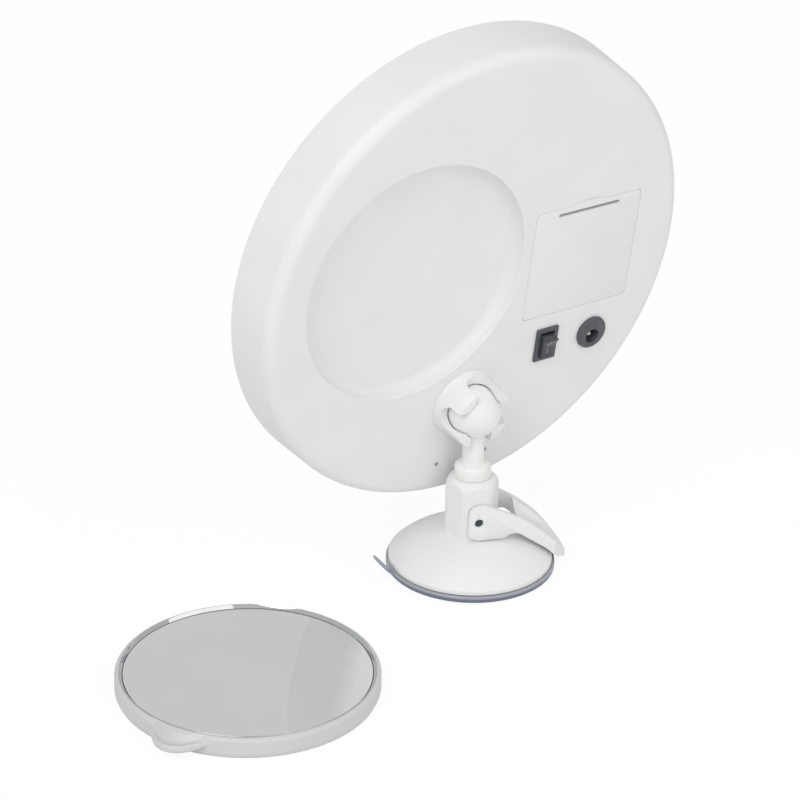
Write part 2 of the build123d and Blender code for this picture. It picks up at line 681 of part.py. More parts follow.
# Power jack: round flanged body through the cover, held by a nut inside, its centre pin in an offset socket
jack_flange_height = 1.7
jack_flange_chamfer = 0.6
jack_barrel_length = 12.0
jack_socket_radius = 3.15
jack_socket_depth = 9.5
jack_socket_shift_x = 0.1
jack_socket_shift_y = 1.45
jack_socket_x = jack_x - jack_socket_shift_x
jack_socket_y = jack_y - jack_socket_shift_y
jack_pin_radius = 1.0
jack_pin_tip_depth = 0.3
jack_pin_tail = 3.0
jack_nut_flats = 13.6
jack_nut_height = 2.4
with BuildPart() as jack_body:
    with BuildSketch(back_face.offset(-jack_flange_height)):
        with Locations((jack_x, jack_y)):
            Circle(jack_flange_radius)
    extrude(amount=jack_flange_height)
    chamfer(jack_body.edges().sort_by(Axis(head_origin, -head_front))[-1], jack_flange_chamfer)
    with BuildSketch(back_face):
        with Locations((jack_x, jack_y)):
            Circle(jack_barrel_radius)
    extrude(amount=jack_barrel_length)
    with BuildSketch(back_face.offset(-jack_flange_height - overrun)):
        with Locations((jack_socket_x, jack_socket_y)):
            Circle(jack_socket_radius)
    extrude(amount=overrun + jack_flange_height + jack_socket_depth, mode=Mode.SUBTRACT)
    with BuildSketch(back_face):
        with Locations((jack_socket_x, jack_socket_y)):
            Circle(jack_pin_radius)
    extrude(amount=jack_barrel_length + overrun, mode=Mode.SUBTRACT)
jack_body.part.label = "jack_body"
export_step(jack_body.part, "parts/jack_body.step")

with BuildPart() as jack_pin:
    with BuildSketch(back_face.offset(jack_pin_tip_depth)):
        with Locations((jack_socket_x, jack_socket_y)):
            Circle(jack_pin_radius)
    extrude(amount=jack_barrel_length + jack_pin_tail - jack_pin_tip_depth)
    fillet(jack_pin.edges().sort_by(Axis(head_origin, -head_front))[-1], jack_pin_radius / 2)
jack_pin.part.label = "jack_pin"
export_step(jack_pin.part, "parts/jack_pin.step")

with BuildPart() as jack_nut:
    with BuildSketch(back_face.offset(head_wall)):
        with Locations((jack_x, jack_y)):
            RegularPolygon(jack_nut_flats / 2, 6, major_radius=False)
            Circle(jack_barrel_radius, mode=Mode.SUBTRACT)
    extrude(amount=jack_nut_height)
jack_nut.part.label = "jack_nut"
export_step(jack_nut.part, "parts/jack_nut.step")

# Ball socket: round cup with four claws between U-shaped slots, its skirt seated on the cover's back
socket_outer_radius = 14.0
socket_tip_radius = 13.2
socket_skirt_radius = 16.0
socket_floor = 2.2
ball_gap = 0.15
claw_slot_width = 10.4
claw_slot_floor = 3.2
claw_bevel_drop = 1.6
claw_length = claw_opening_height + ball_seat_depth
skirt_seat = -ball_seat_depth + running_gap / 2
skirt_top = skirt_seat + socket_skirt_radius - socket_outer_radius
slot_round = claw_slot_width / 2
socket_screw_circle_radius = 12.4
socket_screw_radius = 0.8
socket_screw_grip = 4.6
socket_end = ball_radius + ball_gap + socket_floor
mouth_radius = sqrt((ball_radius + ball_gap) ** 2 - claw_opening_height ** 2)
with BuildPart() as ball_socket:
    with BuildSketch(socket_section):
        with BuildLine():
            Polyline(
                (0, -socket_end),
                (socket_outer_radius, -socket_end),
                (socket_outer_radius, skirt_seat),
                (socket_skirt_radius, skirt_seat),
            )
            RadiusArc(
                (socket_skirt_radius, skirt_seat),
                (socket_outer_radius, skirt_top),
                socket_skirt_radius - socket_outer_radius,
            )
            Polyline(
                (socket_outer_radius, skirt_top),
                (socket_tip_radius, claw_opening_height),
                (mouth_radius, claw_opening_height - claw_bevel_drop),
                (0, claw_opening_height - claw_bevel_drop),
                (0, -socket_end),
            )
        make_face()
    revolve(axis=socket_axis)
    with Locations(ball_centre):
        Sphere(ball_radius + ball_gap, mode=Mode.SUBTRACT)
    for slot_plane in (socket_section, socket_side_section):
        with BuildSketch(slot_plane):
            with Locations((0, claw_slot_floor - ball_seat_depth + slot_round)):
                Circle(slot_round)
                Rectangle(claw_slot_width, claw_length, align=(Align.CENTER, Align.MIN))
        extrude(amount=socket_skirt_radius + overrun, both=True, mode=Mode.SUBTRACT)
    with BuildSketch(socket_face.offset(-socket_end)):
        with PolarLocations(socket_screw_circle_radius, 4, start_angle=45):
            Circle(socket_screw_radius + running_gap / 2)
    extrude(amount=socket_screw_grip + running_gap, mode=Mode.SUBTRACT)
ball_socket.part.label = "ball_socket"
export_step(ball_socket.part, "parts/ball_socket.step")

# Socket retainer: shallow pan inside the cover, drawn up to the socket by four screws
retainer_radius = 16.5
retainer_thickness = 1.8
with BuildPart() as socket_retainer:
    with BuildSketch(socket_section):
        with BuildLine():
            Polyline(
                (0, -socket_end),
                (socket_hole_radius + running_gap, -socket_end),
                (socket_hole_radius + running_gap, -ball_seat_depth - head_wall),
                (retainer_radius, -ball_seat_depth - head_wall),
                (retainer_radius, -socket_end - retainer_thickness),
                (0, -socket_end - retainer_thickness),
                close=True,
            )
        make_face()
    revolve(axis=socket_axis)
    with BuildSketch(socket_face.offset(-socket_end - retainer_thickness - overrun)):
        with PolarLocations(socket_screw_circle_radius, 4, start_angle=45):
            Circle(socket_screw_radius + running_gap / 2)
    extrude(amount=retainer_thickness + 2 * overrun, mode=Mode.SUBTRACT)
socket_retainer.part.label = "socket_retainer"
export_step(socket_retainer.part, "parts/socket_retainer.step")

socket_screw_head_radius = 1.7
socket_screw_head_height = 1.2
with BuildPart() as socket_screws:
    with BuildSketch(socket_face.offset(-socket_end - retainer_thickness - socket_screw_head_height)):
        with PolarLocations(socket_screw_circle_radius, 4, start_angle=45):
            Circle(socket_screw_head_radius)
    extrude(amount=socket_screw_head_height)
    with BuildSketch(socket_face.offset(-socket_end - retainer_thickness)):
        with PolarLocations(socket_screw_circle_radius, 4, start_angle=45):
            Circle(socket_screw_radius)
    extrude(amount=retainer_thickness + socket_screw_grip)
socket_screws.part.label = "socket_screws"
export_step(socket_screws.part, "parts/socket_screws.step")

# Front carrier: disc across the head that holds the light ring and the mirror, on posts against the cover
mirror_radius = head_front_radius - light_ring_width
carrier_depth = 16.2
carrier_thickness = 1.6
carrier_face = carrier_depth + carrier_thickness
carrier_radius = rim_inner_radius - 3 * seat_gap
carrier_post_radius = 3.0
carrier_post_inset_width = 8.4
carrier_post_circle_radius = head_back_radius - carrier_post_inset_width
platform_height = 1.2
platform_width = 2.0
platform_shares = [0.4, 0.68, 0.96]
guard_height = 3.4
guard_width = 1.4
light_inner_radius = mirror_radius + seat_gap
light_rim_margin = 4.4
light_outer_radius = head_front_radius - light_rim_margin
screw_post_radius = 2.4
screw_bite = 7.5
with BuildPart() as front_carrier:
    with BuildSketch(back_face.offset(carrier_depth)):
        Circle(carrier_radius)
    extrude(amount=carrier_thickness)
    with BuildSketch(back_face.offset(carrier_face)):
        for share in platform_shares:
            Circle(share * mirror_radius)
            Circle(share * mirror_radius - platform_width, mode=Mode.SUBTRACT)
    extrude(amount=platform_height)
    with BuildSketch(back_face.offset(carrier_face)):
        Circle(light_outer_radius)
        Circle(light_outer_radius - guard_width, mode=Mode.SUBTRACT)
        Circle(light_inner_radius + guard_width)
        Circle(light_inner_radius, mode=Mode.SUBTRACT)
    extrude(amount=guard_height)
    with BuildSketch(back_face.offset(head_wall)):
        with PolarLocations(carrier_post_circle_radius, 6, start_angle=30):
            Circle(carrier_post_radius)
        with Locations((0, -carrier_post_circle_radius)):
            Circle(carrier_post_radius + overrun, mode=Mode.SUBTRACT)
    extrude(amount=carrier_depth - head_wall)
    with BuildSketch(back_face.offset(screw_boss_depth)):
        with Locations(*cover_screw_places):
            Circle(screw_post_radius)
    extrude(amount=carrier_depth - screw_boss_depth)
    with BuildSketch(back_face.offset(screw_boss_depth)):
        with Locations(*cover_screw_places):
            Circle(cover_screw_shank_radius + running_gap / 2)
    extrude(amount=screw_bite, mode=Mode.SUBTRACT)
front_carrier.part.label = "front_carrier"
export_step(front_carrier.part, "parts/front_carrier.step")

# Cover screws: two small ones sunk in the back near its lowest edge
cover_screw_head_height = 0.9
cover_screw_driver_width = 0.35
cover_screw_driver_length = 1.75
with BuildPart() as cover_screws:
    with BuildSketch(back_face.offset(cover_screw_ledge - cover_screw_head_height)):
        with Locations(*cover_screw_places):
            Circle(cover_screw_hole_radius - running_gap)
    extrude(amount=cover_screw_head_height)
    with BuildSketch(back_face.offset(cover_screw_ledge)):
        with Locations(*cover_screw_places):
            Circle(cover_screw_shank_radius)
    extrude(amount=screw_boss_depth + screw_bite - cover_screw_ledge)
    with BuildSketch(back_face.offset(cover_screw_ledge - cover_screw_head_height)):
        with Locations(*cover_screw_places):
            Rectangle(cover_screw_driver_length, cover_screw_driver_width)
            Rectangle(cover_screw_driver_width, cover_screw_driver_length)
    extrude(amount=cover_screw_head_height / 2, mode=Mode.SUBTRACT)
cover_screws.part.label = "cover_screws"
export_step(cover_screws.part, "parts/cover_screws.step")

# Light ring: circuit board with its LEDs, and the frosted ring in front of them
board_thickness = 1.2
board_margin = 0.9
led_count = 24
led_length = 3.5
led_width = 2.8
led_height = 0.7
light_middle_radius = (light_inner_radius + light_outer_radius) / 2
with BuildPart() as led_board:
    with BuildSketch(back_face.offset(carrier_face)):
        Circle(light_outer_radius - guard_width - board_margin)
        Circle(light_inner_radius + guard_width + board_margin, mode=Mode.SUBTRACT)
    extrude(amount=board_thickness)
led_board.part.label = "led_board"
export_step(led_board.part, "parts/led_board.step")

with BuildPart() as leds:
    with BuildSketch(back_face.offset(carrier_face + board_thickness)):
        with PolarLocations(light_middle_radius, led_count):
            Rectangle(led_width, led_length)
    extrude(amount=led_height)
leds.part.label = "leds"
export_step(leds.part, "parts/leds.step")

diffuser_thickness = 1.8
diffuser_depth = carrier_face + guard_height
bezel_lip_thickness = 1.2
bezel_lip_width = 3.0
bezel_skirt_thickness = 0.9
bezel_front = diffuser_depth + diffuser_thickness + bezel_lip_thickness
bezel_radius = rim_inner_radius - 2 * seat_gap
with BuildPart() as light_diffuser:
    with BuildSketch(back_face.offset(diffuser_depth)):
        Circle(light_outer_radius)
        Circle(light_inner_radius, mode=Mode.SUBTRACT)
    extrude(amount=diffuser_thickness)
    chamfer(light_diffuser.edges().sort_by(head_axis)[-1], diffuser_thickness / 4)
light_diffuser.part.label = "light_diffuser"
export_step(light_diffuser.part, "parts/light_diffuser.step")

# Front bezel: trim ring inside the cover's rim that holds the diffuser down
with BuildPart() as front_bezel:
    with BuildSketch(head_section):
        with BuildLine():
            Polyline(
                (bezel_radius, bezel_front),
                (light_outer_radius - bezel_lip_width / 2, bezel_front),
                (light_outer_radius - bezel_lip_width / 2, bezel_front - bezel_lip_thickness),
                (bezel_radius - bezel_skirt_thickness, bezel_front - bezel_lip_thickness),
                (bezel_radius - bezel_skirt_thickness, carrier_face + seat_gap),
                (bezel_radius, carrier_face + seat_gap),
                close=True,
            )
        make_face()
    revolve(axis=head_axis)
front_bezel.part.label = "front_bezel"
export_step(front_bezel.part, "parts/front_bezel.step")

# Main mirror: round silvered glass on a foam pad
foam_thickness = 1.0
mirror_bevel = 0.5
platform_depth = carrier_face + platform_height
with BuildPart() as mirror_foam:
    with BuildSketch(back_face.offset(platform_depth)):
        Circle(platform_shares[-1] * mirror_radius)
    extrude(amount=foam_thickness)
mirror_foam.part.label = "mirror_foam"
export_step(mirror_foam.part, "parts/mirror_foam.step")

with BuildPart() as main_mirror:
    with BuildSketch(back_face.offset(platform_depth + foam_thickness)):
        Circle(mirror_radius)
    extrude(amount=mirror_thickness)
    chamfer(main_mirror.edges().sort_by(head_axis)[-1], mirror_bevel)
main_mirror.part.label = "main_mirror"
export_step(main_mirror.part, "parts/main_mirror.step")

# Spot mirror frame: shallow white cup with a thumb tab
spot_floor_thickness = 1.6
spot_wall = 1.15
spot_foot_taper = 0.7
spot_taper_height = 1.6
spot_lip_round = 0.5
tab_angle = 32.0
tab_inset_width = 0.4
tab_centre_radius = spot_radius - tab_inset_width
tab_plan_radius = 12.0
tab_bottom_z = 1.8
tab_top_z = 6.6
tab_blend = 6.0
tab_scoop_radius = 6.6
tab_scoop_depth = 1.7
tab_scoop_shift_width = 5.4
tab_scoop_centre_radius = tab_centre_radius + tab_scoop_shift_width
tab_direction = Vector(cos(radians(tab_angle)), sin(radians(tab_angle)), 0)
tab_scoop_sphere = (tab_scoop_radius ** 2 + tab_scoop_depth ** 2) / (2 * tab_scoop_depth)
tab_scoop_place = spot_floor.origin + tab_direction * tab_scoop_centre_radius
tab_inner_point = spot_floor.origin + tab_direction * (tab_centre_radius - tab_plan_radius)
with BuildPart() as spot_frame:
    with BuildSketch(spot_section):
        with BuildLine():
            Polyline(
                (0, 0),
                (spot_radius - spot_foot_taper, 0),
                (spot_radius, spot_taper_height),
                (spot_radius, spot_height - spot_lip_round),
            )
            RadiusArc(
                (spot_radius, spot_height - spot_lip_round),
                (spot_radius - spot_lip_round, spot_height),
                -spot_lip_round,
            )
            Polyline(
                (spot_radius - spot_lip_round, spot_height),
                (0, spot_height),
                (0, 0),
            )
        make_face()
    revolve(axis=spot_axis)
    with BuildSketch(spot_floor.offset(tab_bottom_z)):
        with PolarLocations(tab_centre_radius, 1, start_angle=tab_angle):
            Circle(tab_plan_radius)
    extrude(amount=tab_top_z - tab_bottom_z)
    tab_roots = spot_frame.edges().filter_by(Axis.Z).sort_by_distance(tab_inner_point)[:2]
    fillet(tab_roots, tab_blend)
    with BuildSketch(spot_floor.offset(spot_floor_thickness)):
        Circle(spot_radius - spot_wall)
    extrude(amount=spot_height, mode=Mode.SUBTRACT)
    with Locations(tab_scoop_place + Vector(0, 0, tab_top_z - tab_scoop_depth + tab_scoop_sphere)):
        Sphere(tab_scoop_sphere, mode=Mode.SUBTRACT)
spot_frame.part.label = "spot_frame"
export_step(spot_frame.part, "parts/spot_frame.step")

# Spot mirror glass: concave, silvered, lying on a backing disc that follows its curve
spot_glass_radius = spot_radius - spot_ring_width
spot_glass_rim_z = 7.15
spot_glass_thickness = 2.0
spot_glass_sag = 2.1
spot_glass_sphere = (spot_glass_radius ** 2 + spot_glass_sag ** 2) / (2 * spot_glass_sag)
spot_back_rim_z = spot_glass_rim_z - spot_glass_thickness
with BuildPart() as spot_glass:
    with BuildSketch(spot_section):
        with BuildLine():
            Line((0, spot_back_rim_z - spot_glass_sag), (0, spot_glass_rim_z - spot_glass_sag))
            RadiusArc(
                (0, spot_glass_rim_z - spot_glass_sag),
                (spot_glass_radius, spot_glass_rim_z),
                -spot_glass_sphere,
            )
            Line((spot_glass_radius, spot_glass_rim_z), (spot_glass_radius, spot_back_rim_z))
            RadiusArc(
                (spot_glass_radius, spot_back_rim_z),
                (0, spot_back_rim_z - spot_glass_sag),
                spot_glass_sphere,
            )
        make_face()
    revolve(axis=spot_axis)
spot_glass.part.label = "spot_glass"
export_step(spot_glass.part, "parts/spot_glass.step")

magnet_radius = 4.0
magnet_height = 1.2
magnet_circle_radius = 30.0
with BuildPart() as spot_backing:
    with BuildSketch(spot_section):
        with BuildLine():
            RadiusArc(
                (0, spot_back_rim_z - spot_glass_sag),
                (spot_glass_radius, spot_back_rim_z),
                -spot_glass_sphere,
            )
            Polyline(
                (spot_glass_radius, spot_back_rim_z),
                (spot_glass_radius, spot_floor_thickness),
                (0, spot_floor_thickness),
                (0, spot_back_rim_z - spot_glass_sag),
            )
        make_face()
    revolve(axis=spot_axis)
    with BuildSketch(spot_floor.offset(spot_floor_thickness)):
        with PolarLocations(magnet_circle_radius, 3, start_angle=90):
            Circle(magnet_radius + running_gap)
    extrude(amount=magnet_height + running_gap, mode=Mode.SUBTRACT)
spot_backing.part.label = "spot_backing"
export_step(spot_backing.part, "parts/spot_backing.step")

# Magnets: three discs in the spot mirror and three behind the floor of the dish that hold it there
with BuildPart() as spot_magnets:
    with BuildSketch(spot_floor.offset(spot_floor_thickness)):
        with PolarLocations(magnet_circle_radius, 3, start_angle=90):
            Circle(magnet_radius)
    extrude(amount=magnet_height)
spot_magnets.part.label = "spot_magnets"
export_step(spot_magnets.part, "parts/spot_magnets.step")

with BuildPart() as dish_magnets:
    with BuildSketch(back_face.offset(dish_depth + head_wall)):
        with Locations((dish_x, dish_y)):
            with PolarLocations(magnet_circle_radius, 3, start_angle=90):
                Circle(magnet_radius)
    extrude(amount=magnet_height)
dish_magnets.part.label = "dish_magnets"
export_step(dish_magnets.part, "parts/dish_magnets.step")

# Chrome trim ring pressed in between the spot mirror's glass and frame
ring_bottom_z = 5.0
ring_inner_z = 7.4
ring_top_z = 8.3
ring_land = 0.3
with BuildPart() as spot_trim_ring:
    with BuildSketch(spot_section):
        with BuildLine():
            Polyline(
                (spot_glass_radius, ring_bottom_z),
                (spot_radius - spot_wall, ring_bottom_z),
                (spot_radius - spot_wall, ring_top_z),
                (spot_radius - spot_wall - ring_land, ring_top_z),
                (spot_glass_radius, ring_inner_z),
                close=True,
            )
        make_face()
    revolve(axis=spot_axis)
spot_trim_ring.part.label = "spot_trim_ring"
export_step(spot_trim_ring.part, "parts/spot_trim_ring.step")
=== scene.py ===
import bmesh
import bpy
import numpy as np
from mathutils import Matrix, Vector


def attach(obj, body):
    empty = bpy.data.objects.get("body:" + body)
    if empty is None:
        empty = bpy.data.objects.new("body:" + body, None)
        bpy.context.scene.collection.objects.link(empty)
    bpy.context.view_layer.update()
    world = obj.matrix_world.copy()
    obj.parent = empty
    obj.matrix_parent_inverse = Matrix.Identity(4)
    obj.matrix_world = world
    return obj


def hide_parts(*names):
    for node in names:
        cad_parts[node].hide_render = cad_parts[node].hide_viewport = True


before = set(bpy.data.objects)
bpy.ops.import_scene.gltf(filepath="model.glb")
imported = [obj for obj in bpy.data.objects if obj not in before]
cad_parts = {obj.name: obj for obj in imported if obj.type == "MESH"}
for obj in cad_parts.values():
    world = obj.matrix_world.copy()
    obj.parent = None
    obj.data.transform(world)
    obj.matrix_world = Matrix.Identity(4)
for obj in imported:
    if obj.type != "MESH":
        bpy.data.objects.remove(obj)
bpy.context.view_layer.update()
MM = 0.001

# Camera: a long lens above and behind the mirror, turned to the photograph's three-quarter view of its back. Its
# place and angles were worked out from how the round pieces show in the photograph.
view_point = Vector((652.7, 856.3, 592.0)) * MM
view_turn, view_drop, view_roll = np.radians([144.27, 25.75, 1.08])
flat_right = Vector((np.cos(view_turn), np.sin(view_turn), 0))
flat_ahead = Vector((-np.sin(view_turn), np.cos(view_turn), 0))
ahead = flat_ahead * np.cos(view_drop) - Vector((0, 0, np.sin(view_drop)))
level_up = flat_ahead * np.sin(view_drop) + Vector((0, 0, np.cos(view_drop)))
to_right = flat_right * np.cos(view_roll) + level_up * np.sin(view_roll)
to_top = level_up * np.cos(view_roll) - flat_right * np.sin(view_roll)
camera_data = bpy.data.cameras.new("back_view_lens")
camera_data.sensor_width, camera_data.lens, camera_data.clip_end = 36.0, 135.0, 20.0
camera = bpy.data.objects.new("back_view", camera_data)
bpy.context.scene.collection.objects.link(camera)
pose = np.eye(4)
pose[:3] = np.column_stack([to_right, to_top, -ahead, view_point])
camera.matrix_world = Matrix(pose.tolist())
bpy.context.scene.camera = camera
bpy.context.scene.view_settings.view_transform = "Standard"


# Suction pad: one soft disc of clear vinyl (PVC), injection moulded and tinted by depth, so its thin top edge is
# pale and the thick edge below it is smoky blue. A boss in its middle grips the foot of the pull rod.
def bend(points, radii, steps=6):
    """A chain of (x, y) points with its corners rounded: each corner of radius r becomes an arc that starts and
    ends r * tan(half the turn) from it. Radius 0 keeps a corner, and so does having no radius left for it."""
    points = np.asarray(points, float)
    radii = [*radii, *[0] * (len(points) - 2 - len(radii))]
    out = [points[:1]]
    for before, corner, after, radius in zip(points[:-2], points[1:-1], points[2:], radii):
        back, on = before - corner, after - corner
        back, on = back / np.hypot(*back), on / np.hypot(*on)
        half = np.arccos(np.clip(back @ on, -1, 1)) / 2
        if radius == 0 or half > 1.55:  # the chain runs straight on
            out.append(corner[None])
            continue
        middle = corner + (back + on) / np.hypot(*(back + on)) * radius / np.sin(half)
        start, end = corner + back * radius / np.tan(half) - middle, corner + on * radius / np.tan(half) - middle
        share = np.linspace(0, 1, steps)[:, None]
        turn = np.arccos(np.clip(start @ end / radius ** 2, -1, 1))
        out.append(middle + (start * np.sin((1 - share) * turn) + end * np.sin(share * turn)) / np.sin(turn))
    return np.vstack(out + [points[-1:]])


def surface(name, grid, closed=True, sharp=35.0):
    """A mesh over a grid of points (rows, columns, 3) in millimetres: each cell is a quad, the last column joins
    the first where closed is set, and points that fall together, such as a pole, are made one."""
    rows, columns = grid.shape[:2]
    nearer = np.arange(rows - 1)[:, None] * columns
    column = np.arange(columns if closed else columns - 1)[None]
    following = (column + 1) % columns
    quads = np.stack([nearer + column, nearer + following, nearer + columns + following,
                      nearer + columns + column], axis=-1).reshape(-1, 4)
    mesh = bpy.data.meshes.new(name)
    mesh.from_pydata((grid.reshape(-1, 3) * MM).tolist(), [], quads.tolist())
    piece = bpy.data.objects.new(name, mesh)
    bpy.context.scene.collection.objects.link(piece)
    close_up(piece, sharp)
    return piece


def close_up(piece, sharp):
    """Joins points that fall together, turns every face outwards and shades it smooth up to the sharp angle."""
    work = bmesh.new()
    work.from_mesh(piece.data)
    bmesh.ops.remove_doubles(work, verts=work.verts, dist=2e-6)
    bmesh.ops.dissolve_degenerate(work, edges=work.edges, dist=1e-6)
    bmesh.ops.recalc_face_normals(work, faces=work.faces)
    work.to_mesh(piece.data)
    work.free()
    piece.data.shade_smooth()
    piece.data.set_sharp_from_angle(angle=np.radians(sharp))


def turned(profile, count=192, centre=(0, 0)):
    """A profile of (radius, height) points carried round the upright axis through centre: x = radius * cos(turn),
    y = radius * sin(turn), z = height."""
    turn = np.linspace(0, 2 * np.pi, count, endpoint=False)[None]
    radius, height = profile[:, :1], profile[:, 1:]
    return np.stack([centre[0] + radius * np.cos(turn), centre[1] + radius * np.sin(turn), height + 0 * turn],
                    axis=-1)


def linear(code):
    """An sRGB hex colour such as "e6e6e4" as the linear colour that a shader takes."""
    level = np.array([int(code[i:i + 2], 16) for i in (0, 2, 4)]) / 255
    level = np.where(level <= 0.04045, level / 12.92, ((level + 0.055) / 1.055) ** 2.4)
    return (*level.tolist(), 1.0)


def add(tree, kind, inputs=(), **settings):
    """Adds one node with its settings; inputs are (socket, value or output socket) pairs."""
    node = tree.nodes.new(kind)
    for name, value in settings.items():
        setattr(node, name, value)
    for socket, value in inputs:
        if isinstance(value, bpy.types.NodeSocket):
            tree.links.new(value, node.inputs[socket])
        else:
            node.inputs[socket].default_value = value
    return node


def new_material(name, rough, **sockets):
    """A material with its Principled shader; returns the material, its tree, the shader and Object coordinates."""
    material = bpy.data.materials.new(name)
    material.use_nodes = True
    tree = material.node_tree
    shader = tree.nodes["Principled BSDF"]
    shader.inputs["Roughness"].default_value = rough
    for socket, value in sockets.items():
        shader.inputs[socket.replace("_", " ")].default_value = value
    place = add(tree, "ShaderNodeTexCoord").outputs["Object"]
    return material, tree, shader, place


def grained(tree, place, shader, grit, depth):
    """Bumps the surface with noise of grit mm and depth mm, as the mould or the tool leaves it. Real grain is a few
    hundredths of a millimetre wide, too fine to show, so it is drawn as coarse as the render needs."""
    noise = add(tree, "ShaderNodeTexNoise", [("Vector", place), ("Scale", 1000 / grit), ("Detail", 4.0)])
    bump = add(tree, "ShaderNodeBump", [("Height", noise.outputs["Fac"]), ("Distance", depth * MM),
                                        ("Strength", 1.0)])
    tree.links.new(bump.outputs["Normal"], shader.inputs["Normal"])


def dress(piece, material, body, slot, *stands_for):
    """Gives a finished piece its material and its body, and hides the CAD nodes that it stands for. Its slot is not
    used.
    """
    piece.data.materials.clear()
    piece.data.materials.append(material)
    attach(piece, body)
    if stands_for:
        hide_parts(*stands_for)


pad_radius, pad_rim, pad_floor, pad_chamfer = 34.5, 2.6, 2.2, 0.5
boss_radius, boss_top, rod_hole, foot_room, foot_top = 9.6, 9.4, 4.1, 7.3, 6.5
# The vinyl lets some light through and has a soft moulding's wet shine. Its colour goes by height, as a share of
# the rim's: smoky where the eye looks through the pad's whole width, pale in the thin top edge.
vinyl, tree, shader, place = new_material("moulded_clear_vinyl", 0.22, IOR=1.53, Transmission_Weight=0.18,
                                          Coat_Weight=0.3, Coat_Roughness=0.1)
height = add(tree, "ShaderNodeSeparateXYZ", [("Vector", place)]).outputs["Z"]
height_share = add(tree, "ShaderNodeMath", [(0, height), (1, 1000 / pad_rim)], operation="MULTIPLY").outputs[0]
ramp = add(tree, "ShaderNodeValToRGB", [("Fac", height_share)])
for stop, where, code in zip(ramp.color_ramp.elements, (0.55, 0.86), ("71768f", "b0b2b8")):
    stop.position, stop.color = where, linear(code)
tree.links.new(ramp.outputs["Color"], shader.inputs["Base Color"])
grained(tree, place, shader, 1.2, 0.01)
pad_profile = bend([(0, 0), (pad_radius - pad_chamfer, 0), (pad_radius, pad_chamfer), (pad_radius, pad_rim),
                    (boss_radius, pad_rim), (boss_radius, boss_top), (rod_hole, boss_top), (rod_hole, foot_top),
                    (foot_room, foot_top), (foot_room, pad_floor), (0, pad_floor)], [0, 0.3, 0.5, 0, 0.6, 0.4])
pad = surface("suction_pad_disc", turned(pad_profile))
dress(pad, vinyl, "stand", "soft_pad", "suction_pad")


# Peel tab: the same clear vinyl as the pad, a thin tongue moulded at its rim that curves up so that a finger can
# lift the edge. It is thin enough to let the white behind it through, so it looks paler than the pad.
def two_tone(name, rough, low, high, patch, grain=None, **sockets):
    """A material of two close colours mixed by noise of patch mm, the width of the flow marks or clouds that a part
    has from its making. Where grain is given, it is the bump's (grit mm, depth mm)."""
    material, tree, shader, place = new_material(name, rough, **sockets)
    noise = add(tree, "ShaderNodeTexNoise", [("Vector", place), ("Scale", 1000 / patch), ("Detail", 3.0)])
    ramp = add(tree, "ShaderNodeValToRGB", [("Fac", noise.outputs["Fac"])])
    for stop, where, code in zip(ramp.color_ramp.elements, (0.4, 0.6), (low, high)):
        stop.position, stop.color = where, linear(code)
    tree.links.new(ramp.outputs["Color"], shader.inputs["Base Color"])
    if grain:
        grained(tree, place, shader, *grain)
    return material


tab_turn, tab_thick, tab_half, tab_clear = np.radians(-14.5), 1.3, 2.6, 0.3
tongue_root, tongue_long, tongue_rise, curl = 33.2, 8.9, 9.3, 1.15
flat_until, taper_from, taper_over, flare_until, root_flare = 0.05, 0.45, 0.555, 0.3, 0.25
# The middle line goes out by tongue_long * share and up by tongue_rise * share ** curl. The width narrows past
# taper_from as sqrt(1 - s ** 2.6) and widens into the rim. The section is an oval with flattened sides, set square
# to the middle line, and both ends are closed in a point.
along, about = np.linspace(0, 1, 40)[:, None], np.linspace(0, 2 * np.pi, 48, endpoint=False)[None]
tongue_out = tongue_root + tongue_long * along
tongue_up = tab_thick / 2 + tab_clear + tongue_rise * np.clip((along - flat_until) / (1 - flat_until), 0, 1) ** curl
lean_up = np.arctan2(np.gradient(tongue_up[:, 0]), np.gradient(tongue_out[:, 0]))[:, None]
narrowing = np.sqrt(np.clip(1 - np.clip((along - taper_from) / taper_over, 0, 1) ** 2.6, 0, 1))
flaring = 1 + root_flare * np.clip(1 - along / flare_until, 0, 1) ** 2
wide = np.sign(np.cos(about)) * np.abs(np.cos(about)) ** 0.6 * tab_half * narrowing * flaring
thin = np.sign(np.sin(about)) * np.abs(np.sin(about)) ** 0.7 * tab_thick / 2 * np.minimum(1, 0.25 + narrowing)
outward, upward = tongue_out - thin * np.sin(lean_up), tongue_up + thin * np.cos(lean_up)
tongue = np.stack([outward * np.cos(tab_turn) - wide * np.sin(tab_turn),
                   outward * np.sin(tab_turn) + wide * np.cos(tab_turn), upward], axis=-1)
root, tip = tongue[:1].mean(axis=1, keepdims=True), tongue[-1:].mean(axis=1, keepdims=True)
tongue = np.concatenate([root + 0 * tongue[:1], tongue, tip + 0 * tongue[:1]])
film = two_tone("thin_clear_vinyl", 0.2, "a6aac4", "c3c6d8", 3.0, IOR=1.53, Transmission_Weight=0.35)
peel_tab = surface("peel_tab_tongue", tongue)
dress(peel_tab, film, "stand", "soft_pad")


# Base shell: one white ABS moulding, a shallow dome over the pad with a six-sided column that guides the stem. Its
# mould was spark-eroded, so it is matt with a fine even grain, and every edge has the mould's small round.
def softer(nearer, further, reach):
    """The smaller of two lengths, blended over reach where they meet: a - h * h / (4 * reach), with
    h = max(reach - |a - b|, 0)."""
    blend = np.maximum(reach - np.abs(nearer - further), 0)
    return np.minimum(nearer, further) - blend ** 2 / (4 * reach)


def six_sided(turn):
    """Radius of a hexagon of flats 2 * column_flat whose corners are rounded: flat / cos(turn from the flat)."""
    nearest = (turn - shell_turn) % (np.pi / 3) - np.pi / 6
    beside = np.pi / 3 - np.abs(nearest)
    return softer(column_flat / np.cos(nearest), column_flat / np.cos(beside), corner_blend)


